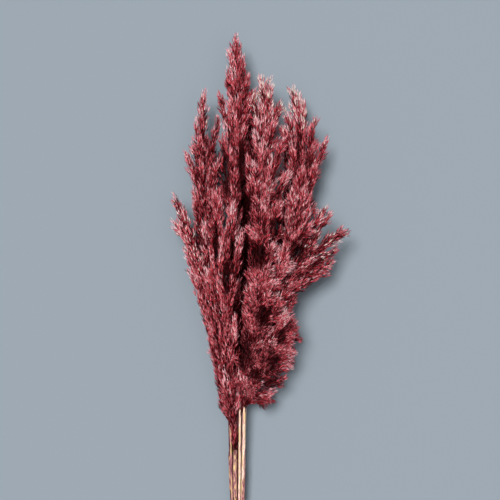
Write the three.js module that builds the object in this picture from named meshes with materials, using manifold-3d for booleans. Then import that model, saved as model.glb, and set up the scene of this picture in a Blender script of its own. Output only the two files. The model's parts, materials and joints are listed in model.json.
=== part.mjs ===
// A bundle of twelve stalks of dried, dyed pampas grass, held by an elastic band and laid down on a table.
// +Y runs from the cut ends to the tips, +X to the right and +Z up from the table. All sizes are in millimetres.
// Each stalk is a stem with one plume. A plume grows along its rachis, which carries on from the stem, and its
// larger sprays leave the rachis and bend outwards. Where plumes press on each other or on the table, they are
// flattened: every plume gives way to the ones before it in the list, and all of them to each other's rachis.

import * as THREE from 'three';
import { mergeVertices } from 'three/addons/utils/BufferGeometryUtils.js';
import Module from 'manifold-3d';

const wasm = await Module();
wasm.setup();

// Driving dimensions
const STEM_RADIUS = 2.0;
const STEM_LENGTH = 250; // from the longest stem's cut end to the height at which the plumes start
const TIE_AT = 100; // the band's distance from the longest stem's cut end
const TIE_AXIS_HEIGHT = 18; // height of the bundle's middle above the table, at the band
const NECK_AXIS_HEIGHT = 32; // the same, where the plumes start
const CLEARANCE = 0.35; // between neighbouring pieces
const SPLAY = 1.15; // how far the stems stand apart at their cut ends, against the band
const NECK_SPREAD = 1.5; // the same, where the plumes start
const BAND_THICKNESS = 0.9;
const BAND_WIDTH = 7; // along the stems
const SHEATH_WALL = 0.4;
const SHEATH_WRAP = 200; // degrees of the stem that a leaf sheath covers, on the bundle's outside
const NECK_RADIUS = 2.0; // a plume where it leaves its stem
const RACHIS_TIP_RADIUS = 0.6;
const SPRAY_END = 0.16; // a spray's tip radius, as a share of its girth

// Facets
const STEM_SIDES = 8;
const STEM_RINGS = 10;
const PLUME_SIDES = 8;
const PLUME_RINGS = 13;
const SPRAY_RINGS = 8;
const BAND_SIDES = 28;
const SHEATH_SIDES = 9;
const SHEATH_STEPS = 4;

// The stalks. ring and angle give the stem's place in the bundle, seen from its cut ends with 90 degrees up.
// cut is how much shorter the stem was cut, and neck how far above STEM_LENGTH its plume starts. rachis holds the
// points that the plume's axis passes above its neck: x from the bundle's middle, y above STEM_LENGTH and z above
// the table. girth is the plume's radius around its rachis. A spray leaves the rachis at its share from along it.
const STALKS = [
  { name: '01', ring: 'outer', angle: 110, cut: 0, neck: -30, girth: 13,
    rachis: [[-11, 38, 56], [-14, 110, 76], [-19, 182, 85], [-25, 262, 82]],
    sprays: [{ from: 0.30, tip: [7, 214, 90], girth: 9 }, { from: 0.38, tip: [-3, 250, 82], girth: 9 },
      { from: 0.22, tip: [-30, 186, 78], girth: 9 }, { from: 0.12, tip: [-1, 112, 78], girth: 10 },
      { from: 0.10, tip: [-32, 134, 74], girth: 11 }, { from: 0.18, tip: [-38, 172, 72], girth: 10 },
      { from: 0.05, tip: [-14, 86, 70], girth: 11 }, { from: 0.26, tip: [-14, 218, 88], girth: 9 },
      { from: 0.00, tip: [-13, 20, 45], girth: 7 }, { from: 0.02, tip: [-20, 50, 58], girth: 8 }] },
  { name: '02', ring: 'outer', angle: 70, cut: 5, neck: 6, girth: 16,
    rachis: [[16, 76, 66], [25, 146, 82], [30, 206, 84], [33, 270, 80]],
    sprays: [{ from: 0.30, tip: [88, 226, 88], girth: 10 }, { from: 0.24, tip: [62, 196, 90], girth: 11 },
      { from: 0.45, tip: [52, 250, 84], girth: 9 }, { from: 0.12, tip: [38, 148, 86], girth: 10 },
      { from: 0.40, tip: [20, 298, 76], girth: 9 }, { from: 0.30, tip: [42, 200, 94], girth: 11 },
      { from: 0.22, tip: [37, 176, 94], girth: 11 }, { from: 0.20, tip: [58, 182, 90], girth: 11 },
      { from: 0.14, tip: [16, 152, 92], girth: 10 }, { from: 0.16, tip: [64, 152, 84], girth: 11 },
      { from: 0.10, tip: [52, 132, 84], girth: 11 }] },
  { name: '03', ring: 'outer', angle: 30, cut: 2, neck: 4, girth: 17,
    rachis: [[20, 40, 52], [42, 84, 60], [60, 130, 60], [68, 152, 58]],
    sprays: [{ from: 0.14, tip: [72, 94, 54], girth: 14 }, { from: 0.08, tip: [62, 56, 48], girth: 14 },
      { from: 0.02, tip: [42, 20, 42], girth: 12 }, { from: 0.16, tip: [32, 104, 74], girth: 12 },
      { from: 0.06, tip: [24, 62, 62], girth: 11 }, { from: 0.11, tip: [66, 74, 58], girth: 13 },
      { from: 0.05, tip: [55, 38, 50], girth: 13 }, { from: 0.00, tip: [30, 10, 42], girth: 10 },
      { from: 0.10, tip: [16, 80, 68], girth: 11 }, { from: 0.06, tip: [32, 50, 66], girth: 12 },
      { from: 0.12, tip: [50, 78, 74], girth: 12 }, { from: 0.03, tip: [20, 30, 56], girth: 10 },
      { from: 0.16, tip: [58, 120, 72], girth: 11 }, { from: 0.14, tip: [70, 110, 62], girth: 12 },
      { from: 0.02, tip: [34, 14, 36], girth: 10 }] },
  { name: '04', ring: 'outer', angle: 350, cut: 8, neck: 8, girth: 12,
    rachis: [[28, 76, 44], [52, 140, 62], [84, 182, 66], [129, 218, 62]],
    sprays: [{ from: 0.45, tip: [121, 194, 56], girth: 7 }, { from: 0.36, tip: [107, 168, 50], girth: 9 },
      { from: 0.42, tip: [107, 246, 66], girth: 8 }, { from: 0.50, tip: [112, 238, 60], girth: 6 },
      { from: 0.40, tip: [97, 212, 70], girth: 9 }, { from: 0.30, tip: [88, 184, 70], girth: 10 },
      { from: 0.24, tip: [76, 158, 66], girth: 10 }, { from: 0.36, tip: [116, 180, 52], girth: 8 }] },
  { name: '05', ring: 'outer', angle: 150, cut: 3, neck: -8, girth: 11,
    rachis: [[-25, 74, 46], [-40, 142, 54], [-55, 194, 54], [-75, 227, 50]],
    sprays: [{ from: 0.50, tip: [-77, 262, 47], girth: 5 }, { from: 0.40, tip: [-67, 250, 52], girth: 8 },
      { from: 0.20, tip: [-46, 190, 72], girth: 10 }, { from: 0.30, tip: [-61, 198, 52], girth: 9 },
      { from: 0.24, tip: [-54, 172, 58], girth: 9 }, { from: 0.14, tip: [-44, 140, 58], girth: 10 },
      { from: 0.05, tip: [-26, 60, 40], girth: 8 }, { from: 0.02, tip: [-22, 30, 36], girth: 7 },
      { from: 0.10, tip: [-34, 100, 48], girth: 8 }] },
  { name: '06', ring: 'inner', angle: 90, cut: 6, neck: 8, girth: 17,
    rachis: [[12, 80, 48], [22, 190, 66], [31, 300, 66], [34, 352, 62], [30, 402, 58]],
    sprays: [{ from: 0.62, tip: [52, 372, 60], girth: 9 }, { from: 0.66, tip: [19, 378, 60], girth: 8 },
      { from: 0.72, tip: [41, 389, 58], girth: 8 }, { from: 0.42, tip: [12, 306, 72], girth: 10 },
      { from: 0.35, tip: [32, 268, 80], girth: 12 }, { from: 0.38, tip: [62, 288, 74], girth: 12 },
      { from: 0.46, tip: [56, 326, 68], girth: 12 }, { from: 0.55, tip: [24, 352, 68], girth: 9 },
      { from: 0.52, tip: [43, 346, 70], girth: 10 }, { from: 0.30, tip: [48, 250, 82], girth: 11 },
      { from: 0.44, tip: [50, 306, 62], girth: 11 }, { from: 0.26, tip: [50, 222, 72], girth: 11 }] },
  { name: '07', ring: 'inner', angle: 210, cut: 9, neck: 4, girth: 14,
    rachis: [[-5, 90, 42], [-3, 200, 60], [-1, 314, 60], [1, 386, 56], [-1, 449, 52]],
    sprays: [{ from: 0.52, tip: [-22, 383, 56], girth: 7 }, { from: 0.62, tip: [13, 404, 56], girth: 7 },
      { from: 0.62, tip: [-12, 410, 54], girth: 6 }, { from: 0.42, tip: [-8, 314, 70], girth: 10 },
      { from: 0.36, tip: [-16, 284, 70], girth: 10 }, { from: 0.48, tip: [8, 340, 66], girth: 9 },
      { from: 0.56, tip: [-9, 372, 62], girth: 8 }, { from: 0.30, tip: [-6, 250, 72], girth: 10 },
      { from: 0.44, tip: [-17, 330, 60], girth: 9 }, { from: 0.38, tip: [-18, 300, 62], girth: 10 },
      { from: 0.60, tip: [21, 386, 55], girth: 7 }] },
  { name: '08', ring: 'inner', angle: 330, cut: 4, neck: 6, girth: 17,
    rachis: [[22, 76, 34], [54, 162, 44], [76, 246, 50], [76, 330, 50], [68, 392, 46]],
    sprays: [{ from: 0.60, tip: [92, 348, 52], girth: 11 }, { from: 0.70, tip: [80, 370, 48], girth: 9 },
      { from: 0.56, tip: [109, 330, 46], girth: 8 }, { from: 0.58, tip: [54, 340, 56], girth: 11 },
      { from: 0.45, tip: [76, 314, 60], girth: 11 }, { from: 0.42, tip: [95, 296, 54], girth: 10 },
      { from: 0.36, tip: [66, 266, 62], girth: 12 }, { from: 0.36, tip: [83, 272, 58], girth: 11 },
      { from: 0.50, tip: [64, 322, 58], girth: 10 }, { from: 0.54, tip: [92, 322, 52], girth: 10 },
      { from: 0.30, tip: [86, 242, 56], girth: 11 }, { from: 0.50, tip: [58, 362, 50], girth: 10 },
      { from: 0.34, tip: [60, 240, 58], girth: 11 }] },
  { name: '09', ring: 'outer', angle: 190, cut: 7, neck: 0, girth: 12,
    rachis: [[-21, 84, 36], [-34, 170, 48], [-37, 256, 50], [-42, 330, 50], [-41, 384, 48]],
    sprays: [{ from: 0.52, tip: [-63, 314, 46], girth: 6 }, { from: 0.62, tip: [-22, 352, 54], girth: 7 },
      { from: 0.48, tip: [-50, 352, 48], girth: 6 }, { from: 0.42, tip: [-23, 302, 58], girth: 10 },
      { from: 0.42, tip: [-41, 296, 60], girth: 10 }, { from: 0.34, tip: [-50, 266, 56], girth: 10 },
      { from: 0.34, tip: [-27, 262, 62], girth: 10 }, { from: 0.26, tip: [-40, 226, 60], girth: 10 }] },
  { name: '10', ring: 'outer', angle: 230, cut: 1, neck: 2, girth: 16,
    rachis: [[-20, 78, 15], [-36, 170, 14], [-42, 250, 15], [-36, 330, 20]],
    sprays: [{ from: 0.40, tip: [-62, 222, 18], girth: 10 }, { from: 0.40, tip: [-14, 276, 24], girth: 11 },
      { from: 0.50, tip: [-16, 316, 24], girth: 10 }, { from: 0.55, tip: [-50, 300, 24], girth: 10 }] },
  { name: '11', ring: 'outer', angle: 270, cut: 0, neck: 0, girth: 16,
    rachis: [[3, 84, 13], [8, 190, 14], [12, 290, 18], [14, 384, 26]],
    sprays: [{ from: 0.30, tip: [-12, 196, 20], girth: 11 }, { from: 0.50, tip: [32, 316, 22], girth: 11 },
      { from: 0.14, tip: [26, 96, 24], girth: 10 }, { from: 0.45, tip: [-8, 296, 24], girth: 10 },
      { from: 0.60, tip: [30, 352, 28], girth: 10 }, { from: 0.40, tip: [34, 262, 26], girth: 11 }] },
  { name: '12', ring: 'outer', angle: 310, cut: 10, neck: 4, girth: 16,
    rachis: [[26, 76, 15], [52, 158, 13], [70, 240, 15], [82, 312, 22]],
    sprays: [{ from: 0.36, tip: [94, 196, 20], girth: 11 }, { from: 0.16, tip: [66, 96, 22], girth: 11 },
      { from: 0.40, tip: [70, 262, 30], girth: 11 }, { from: 0.30, tip: [52, 262, 30], girth: 11 },
      { from: 0.50, tip: [64, 300, 34], girth: 11 }, { from: 0.55, tip: [56, 334, 30], girth: 10 },
      { from: 0.60, tip: [96, 300, 26], girth: 10 }] },
];

// Dried leaf sheaths still wrapped round their stems, and their stretch below the stem's neck
const SHEATHS = [
  { name: '01', stem: '01', from: 78, to: 4 },
  { name: '02', stem: '03', from: 118, to: 70 },
  { name: '03', stem: '09', from: 100, to: 40 },
];

// Where the stems lie in the bundle at the band: three in the middle and nine round them, just clear of each other
const PITCH = 2 * STEM_RADIUS + CLEARANCE;
const INNER_RING = PITCH / 2 / Math.cos(Math.PI / 6);
const OFFSET = THREE.MathUtils.degToRad(20); // from a stem of the inner ring to the nearest of the outer ring
const OUTER_RING = INNER_RING * Math.cos(OFFSET) + Math.sqrt(PITCH ** 2 - (INNER_RING * Math.sin(OFFSET)) ** 2);
const RINGS = { inner: INNER_RING, outer: OUTER_RING };
const BUNDLE_RADIUS = OUTER_RING + STEM_RADIUS;
const CUT_AXIS_HEIGHT = SPLAY * OUTER_RING + STEM_RADIUS; // the lowest stem's cut end then rests on the table

const MATERIALS = {
  stem: new THREE.MeshStandardMaterial({ color: '#d9bd8f', roughness: 0.6, metalness: 0 }),
  plume: new THREE.MeshStandardMaterial({ color: '#84373f', roughness: 0.85, metalness: 0 }),
  sheath: new THREE.MeshStandardMaterial({ color: '#b98f78', roughness: 0.7, metalness: 0 }),
  band: new THREE.MeshStandardMaterial({ color: '#c9a46c', roughness: 0.5, metalness: 0 }),
};

const smooth = (points) => new THREE.CatmullRomCurve3(points, false, 'centripetal');

// A solid limb of round section along a curve, flat at both ends: a sphere whose rings are moved along the curve
function limb(curve, radiusAt, sides, rings) {
  const shape = new THREE.SphereGeometry(1, sides, rings);
  const steps = rings - 2;
  const frames = curve.computeFrenetFrames(steps, false);
  const place = shape.getAttribute('position');
  const point = new THREE.Vector3();
  for (let i = 0; i < place.count; i++) {
    point.fromBufferAttribute(place, i);
    const ring = Math.round(Math.acos(THREE.MathUtils.clamp(point.y, -1, 1)) / Math.PI * rings);
    const step = THREE.MathUtils.clamp(ring - 1, 0, steps);
    const isPole = ring === 0 || ring === rings;
    const radius = isPole ? 0 : radiusAt(step / steps);
    const around = Math.atan2(point.z, point.x);
    const at = curve.getPointAt(step / steps)
      .addScaledVector(frames.normals[step], radius * Math.cos(around))
      .addScaledVector(frames.binormals[step], radius * Math.sin(around));
    place.setXYZ(i, at.x, at.y, at.z);
  }
  return shape;
}

function toSolid(geometry) {
  const bare = new THREE.BufferGeometry()
    .setAttribute('position', geometry.getAttribute('position'))
    .setIndex(geometry.getIndex());
  const merged = mergeVertices(bare, 1e-4);
  return new wasm.Manifold(new wasm.Mesh({
    numProp: 3,
    vertProperties: merged.getAttribute('position').array,
    triVerts: new Uint32Array(merged.getIndex().array),
  }));
}

function toGeometry(solid) {
  const mesh = solid.getMesh();
  return new THREE.BufferGeometry()
    .setAttribute('position', new THREE.BufferAttribute(mesh.vertProperties, 3))
    .setIndex(new THREE.BufferAttribute(mesh.triVerts, 1));
}

const union = (solids) => solids.reduce((whole, next) => whole.add(next));
const largest = (solid) => solid.decompose().reduce((a, b) => (b.volume() > a.volume() ? b : a));

// The bundle's middle at a distance y from the longest stem's cut end
function axisPoint(y) {
  const height = y < TIE_AT
    ? THREE.MathUtils.mapLinear(y, 0, TIE_AT, CUT_AXIS_HEIGHT, TIE_AXIS_HEIGHT)
    : THREE.MathUtils.mapLinear(y, TIE_AT, STEM_LENGTH, TIE_AXIS_HEIGHT, NECK_AXIS_HEIGHT);
  return new THREE.Vector3(0, y, height);
}

// A stem's middle at a distance y, where the stems stand spread times as far apart as at the band
function stemPoint(stalk, y, spread) {
  const angle = THREE.MathUtils.degToRad(stalk.angle);
  const away = RINGS[stalk.ring] * spread;
  return axisPoint(y).add(new THREE.Vector3(away * Math.cos(angle), 0, away * Math.sin(angle)));
}

const neckPoint = (stalk) => stemPoint(stalk, STEM_LENGTH + stalk.neck, NECK_SPREAD);

function stemCurve(stalk) {
  return smooth([
    stemPoint(stalk, stalk.cut, SPLAY),
    stemPoint(stalk, TIE_AT, 1),
    stemPoint(stalk, (TIE_AT + STEM_LENGTH) / 2, (1 + NECK_SPREAD) / 2),
    neckPoint(stalk),
  ]);
}

function stemLimb(stalk, extra = 0) {
  return limb(stemCurve(stalk), () => STEM_RADIUS + extra, STEM_SIDES, STEM_RINGS);
}

function rachisCurve(stalk) {
  const neck = neckPoint(stalk);
  const along = stemCurve(stalk).getTangentAt(1);
  const points = stalk.rachis.map(([x, y, z]) => new THREE.Vector3(x, STEM_LENGTH + y, z));
  return smooth([neck.addScaledVector(along, CLEARANCE), ...points]);
}

// A plume's radius from its neck to its tip, and a spray's from the rachis to its tip, as shares of the girth
const plumeShape = (s) => Math.sin(Math.PI * Math.min(1, 0.06 + 0.9 * s ** 0.8)) ** 0.8;
const sprayShape = (s) => Math.max(SPRAY_END, Math.sin(Math.PI * (0.18 + 0.78 * s)) ** 0.7);

function plumeRadius(stalk, s, extra) {
  const blend = THREE.MathUtils.smoothstep(s, 0, 0.25);
  return extra + THREE.MathUtils.lerp(NECK_RADIUS, stalk.girth * plumeShape(s), blend);
}

function sprayCurve(rachis, spray) {
  const start = rachis.getPointAt(spray.from);
  const tip = new THREE.Vector3(spray.tip[0], STEM_LENGTH + spray.tip[1], spray.tip[2]);
  const reach = start.distanceTo(tip) / 2;
  const bend = start.clone().addScaledVector(rachis.getTangentAt(spray.from), reach);
  return new THREE.QuadraticBezierCurve3(start, bend, tip);
}

// The whole outer shape of a plume, before its neighbours and the table press on it
function plumeBody(stalk, extra = 0) {
  const rachis = rachisCurve(stalk);
  const main = limb(rachis, (s) => plumeRadius(stalk, s, extra), PLUME_SIDES, PLUME_RINGS);
  const sprays = stalk.sprays.map((spray) => limb(
    sprayCurve(rachis, spray), (s) => extra + spray.girth * sprayShape(s), PLUME_SIDES, SPRAY_RINGS));
  return union([main, ...sprays].map(toSolid));
}

// Everything below the table's top
function table() {
  const size = 4 * STEM_LENGTH;
  return toSolid(new THREE.BoxGeometry(size, size, size).translate(0, size / 2, -size / 2));
}

// The rachis alone, which nothing flattens
function rachisBody(stalk, extra = 0) {
  const radiusAt = (s) => extra + THREE.MathUtils.lerp(NECK_RADIUS, RACHIS_TIP_RADIUS, s);
  return toSolid(limb(rachisCurve(stalk), radiusAt, PLUME_SIDES, PLUME_RINGS));
}

function plumes() {
  const stems = union(STALKS.map((stalk) => toSolid(stemLimb(stalk, CLEARANCE))));
  let taken = stems.add(table());
  return STALKS.map((stalk) => {
    const others = STALKS.filter((other) => other !== stalk).map((other) => rachisBody(other, CLEARANCE));
    const pressed = plumeBody(stalk).subtract(taken).subtract(union(others));
    const whole = pressed.add(rachisBody(stalk).subtract(stems));
    taken = taken.add(plumeBody(stalk, CLEARANCE));
    return named(`plume_${stalk.name}`, toGeometry(largest(whole)), MATERIALS.plume);
  });
}

// A thin open sleeve round a stretch of a stem, on the side that faces out of the bundle
function sheath({ stem, from, to }) {
  const stalk = STALKS.find(({ name }) => name === stem);
  const curve = stemCurve(stalk);
  const length = STEM_LENGTH + stalk.neck - stalk.cut;
  const path = smooth([from, (from + to) / 2, to].map((below) => curve.getPointAt(1 - below / length)));

  const { normals, binormals } = path.computeFrenetFrames(SHEATH_STEPS, false);
  const outwards = stemPoint(stalk, TIE_AT, 1).sub(axisPoint(TIE_AT));
  const middle = Math.atan2(outwards.dot(binormals[0]), outwards.dot(normals[0]));
  const half = THREE.MathUtils.degToRad(SHEATH_WRAP / 2);
  const inner = STEM_RADIUS + CLEARANCE;
  const section = new THREE.Shape()
    .absarc(0, 0, inner + SHEATH_WALL, middle - half, middle + half, false)
    .absarc(0, 0, inner, middle + half, middle - half, true)
    .closePath();
  return new THREE.ExtrudeGeometry(section, {
    extrudePath: path, steps: SHEATH_STEPS, curveSegments: SHEATH_SIDES,
  });
}

// A flat elastic band stretched round the stems
function band() {
  const inner = BUNDLE_RADIUS + CLEARANCE;
  const section = new THREE.Shape().absarc(0, 0, inner + BAND_THICKNESS, 0, 2 * Math.PI, false);
  section.holes.push(new THREE.Path().absarc(0, 0, inner, 0, 2 * Math.PI, true));
  const slope = axisPoint(TIE_AT + BAND_WIDTH).sub(axisPoint(TIE_AT - BAND_WIDTH));
  const middle = axisPoint(TIE_AT);
  return new THREE.ExtrudeGeometry(section, { depth: BAND_WIDTH, bevelEnabled: false, curveSegments: BAND_SIDES })
    .translate(0, 0, -BAND_WIDTH / 2)
    .rotateX(-Math.PI / 2 + Math.atan2(slope.z, slope.y))
    .translate(middle.x, middle.y, middle.z);
}

function named(name, geometry, material) {
  const mesh = new THREE.Mesh(geometry, material);
  mesh.name = name;
  return mesh;
}

const bundle = new THREE.Group();
bundle.add(
  ...STALKS.map((stalk) => named(`stem_${stalk.name}`, stemLimb(stalk), MATERIALS.stem)),
  ...plumes(),
  ...SHEATHS.map((leaf) => named(`leaf_sheath_${leaf.name}`, sheath(leaf), MATERIALS.sheath)),
  named('band', band(), MATERIALS.band),
);

// The origin is on the table, under the middle of the whole bundle
const box = new THREE.Box3().setFromObject(bundle);
bundle.position.set(-(box.min.x + box.max.x) / 2, -(box.min.y + box.max.y) / 2, -box.min.z);

export default bundle;
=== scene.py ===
"""The looks of a bundle of dried, dyed pampas grass that lies on a pale surface.

Twelve plumes of feathery spikelets, their cut stems, a few torn leaf sheaths and the elastic band that
holds them. Everything is in metres, with the stems along Y, the plume tips towards +Y and the surface at
zero height. Only the table of stalks is written in millimetres.
"""

from __future__ import annotations

import json
import logging
import math
from collections.abc import Callable, Iterable, Sequence
from dataclasses import dataclass, field
from enum import Enum
from typing import Any

import bmesh
import bpy
import numpy as np
from mathutils import Matrix, Vector

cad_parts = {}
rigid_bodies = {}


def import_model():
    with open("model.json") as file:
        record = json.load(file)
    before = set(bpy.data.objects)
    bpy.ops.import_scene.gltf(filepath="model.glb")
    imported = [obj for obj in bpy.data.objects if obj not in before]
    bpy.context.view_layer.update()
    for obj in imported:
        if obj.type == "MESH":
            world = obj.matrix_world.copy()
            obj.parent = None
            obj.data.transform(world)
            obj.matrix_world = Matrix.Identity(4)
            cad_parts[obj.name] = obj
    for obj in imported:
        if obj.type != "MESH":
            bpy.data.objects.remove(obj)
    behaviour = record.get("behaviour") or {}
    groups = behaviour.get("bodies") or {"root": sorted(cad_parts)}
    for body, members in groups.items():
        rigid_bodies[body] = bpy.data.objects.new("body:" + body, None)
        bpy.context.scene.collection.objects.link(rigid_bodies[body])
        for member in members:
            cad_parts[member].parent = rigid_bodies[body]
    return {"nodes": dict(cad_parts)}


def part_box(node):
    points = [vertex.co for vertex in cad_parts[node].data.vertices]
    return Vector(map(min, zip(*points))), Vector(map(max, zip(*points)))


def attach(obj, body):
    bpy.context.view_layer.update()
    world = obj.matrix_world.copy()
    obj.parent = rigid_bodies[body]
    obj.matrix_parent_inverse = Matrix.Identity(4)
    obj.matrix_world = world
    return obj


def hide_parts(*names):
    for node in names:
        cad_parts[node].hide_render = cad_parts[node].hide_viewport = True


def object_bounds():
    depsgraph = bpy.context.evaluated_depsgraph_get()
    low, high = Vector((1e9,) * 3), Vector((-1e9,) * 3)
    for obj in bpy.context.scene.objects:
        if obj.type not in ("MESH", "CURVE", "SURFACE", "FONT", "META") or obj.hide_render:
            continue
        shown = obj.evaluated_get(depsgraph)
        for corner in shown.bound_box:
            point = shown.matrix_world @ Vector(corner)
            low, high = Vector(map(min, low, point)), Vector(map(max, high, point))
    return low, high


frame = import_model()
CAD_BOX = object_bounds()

log = logging.getLogger("pampas")

Triple = tuple[float, float, float]
Colour = tuple[float, float, float, float]

SEED = 20
BODY = "root"
MAP_NAME = "OFBake"
GOLDEN_ANGLE = math.pi * (3 - math.sqrt(5))


def tint(red: int, green: int, blue: int) -> Colour:
    """Turns a screen colour into the linear one that shaders use.

    Args:
        red: Red, 0 to 255.
        green: Green, 0 to 255.
        blue: Blue, 0 to 255.

    Returns:
        The linear colour, opaque.
    """

    def linear(level: int) -> float:
        """Decodes one channel."""
        share = level / 255
        return share / 12.92 if share <= 0.04045 else ((share + 0.055) / 1.055) ** 2.4

    return (linear(red), linear(green), linear(blue), 1.0)


# ---------------------------------------------------------------- lines


class Line:
    """A smooth line through a few points, read by the share of its length."""

    STEPS_PER_SPAN = 16

    def __init__(self, points: Sequence[Sequence[float]]) -> None:
        """Runs a centripetal Catmull-Rom curve through the points.

        Args:
            points: Two or more points that the line passes.
        """
        given = np.array(points, float)
        ends = np.vstack([2 * given[0] - given[1], given, 2 * given[-1] - given[-2]])
        dense = [given[:1]]
        for k in range(len(given) - 1):
            dense.append(self._span(ends[k : k + 4]))
        self.dense = np.vstack(dense)
        steps = np.linalg.norm(np.diff(self.dense, axis=0), axis=1)
        self.length = float(steps.sum())
        self.shares = np.concatenate([[0.0], np.cumsum(steps)]) / self.length

    @classmethod
    def _span(cls, four: np.ndarray) -> np.ndarray:
        """Samples the span between the middle two of four points.

        Args:
            four: The points before, at both ends of, and after the span.

        Returns:
            The samples, without the span's first point.
        """
        gaps = np.maximum(np.linalg.norm(np.diff(four, axis=0), axis=1), 1e-9) ** 0.5
        middle = four[2] - four[1]
        before = (four[1] - four[0]) / gaps[0] - (four[2] - four[0]) / (gaps[0] + gaps[1]) + middle / gaps[1]
        after = middle / gaps[1] - (four[3] - four[1]) / (gaps[1] + gaps[2]) + (four[3] - four[2]) / gaps[2]
        before, after = before * gaps[1], after * gaps[1]
        t = np.linspace(0, 1, cls.STEPS_PER_SPAN + 1)[1:, None]
        return (
            (2 * t**3 - 3 * t**2 + 1) * four[1]
            + (t**3 - 2 * t**2 + t) * before
            + (3 * t**2 - 2 * t**3) * four[2]
            + (t**3 - t**2) * after
        )

    def at(self, shares: Any) -> np.ndarray:
        """Gives the points at these shares of the length."""
        shares = np.clip(np.atleast_1d(shares), 0, 1)
        return np.stack([np.interp(shares, self.shares, self.dense[:, k]) for k in range(3)], 1)

    def along(self, shares: Any) -> np.ndarray:
        """Gives the unit directions at these shares of the length."""
        shares = np.clip(np.atleast_1d(shares), 0, 1)
        step = 0.02
        return unit(self.at(np.minimum(shares + step, 1)) - self.at(np.maximum(shares - step, 0)))


def unit(vectors: np.ndarray) -> np.ndarray:
    """Scales each row to a length of one."""
    return vectors / np.maximum(np.linalg.norm(vectors, axis=-1, keepdims=True), 1e-12)


def outward(along: np.ndarray, angles: np.ndarray) -> np.ndarray:
    """Gives directions square to a line, turned round it.

    Args:
        along: The line's unit directions, which are never upright.
        angles: Turns from the line's right-hand side, with up at a quarter turn.

    Returns:
        One unit direction for each row.
    """
    side = unit(np.cross(along, np.array([0.0, 0.0, 1.0])))
    up = np.cross(side, along)
    return side * np.cos(angles)[:, None] + up * np.sin(angles)[:, None]


def bent(start: np.ndarray, pull: np.ndarray, end: np.ndarray) -> np.ndarray:
    """Samples a quadratic curve from start to end that leaves towards pull."""
    t = np.linspace(0, 1, 5)[:, None]
    return (1 - t) ** 2 * start + 2 * t * (1 - t) * pull + t**2 * end


# ---------------------------------------------------------------- shader nodes


class Socket:
    """A shader value that takes part in Python expressions."""

    def __init__(self, shader: "Shader", source: Any) -> None:
        """Wraps an output socket of one of the shader's nodes."""
        self.shader = shader
        self.source = source

    def _maths(self, operation: str, *values: Any) -> "Socket":
        """Adds a Math node for an operation on values."""
        node = self.shader.add("ShaderNodeMath", {"operation": operation}, dict(enumerate(values)))
        return Socket(self.shader, node.outputs[0])

    def __add__(self, other: Any) -> "Socket":
        """self + other."""
        return self._maths("ADD", self, other)

    def __radd__(self, other: Any) -> "Socket":
        """other + self."""
        return self._maths("ADD", other, self)

    def __sub__(self, other: Any) -> "Socket":
        """self - other."""
        return self._maths("SUBTRACT", self, other)

    def __rsub__(self, other: Any) -> "Socket":
        """other - self."""
        return self._maths("SUBTRACT", other, self)

    def __mul__(self, other: Any) -> "Socket":
        """self * other."""
        return self._maths("MULTIPLY", self, other)

    def __rmul__(self, other: Any) -> "Socket":
        """other * self."""
        return self._maths("MULTIPLY", other, self)


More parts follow.
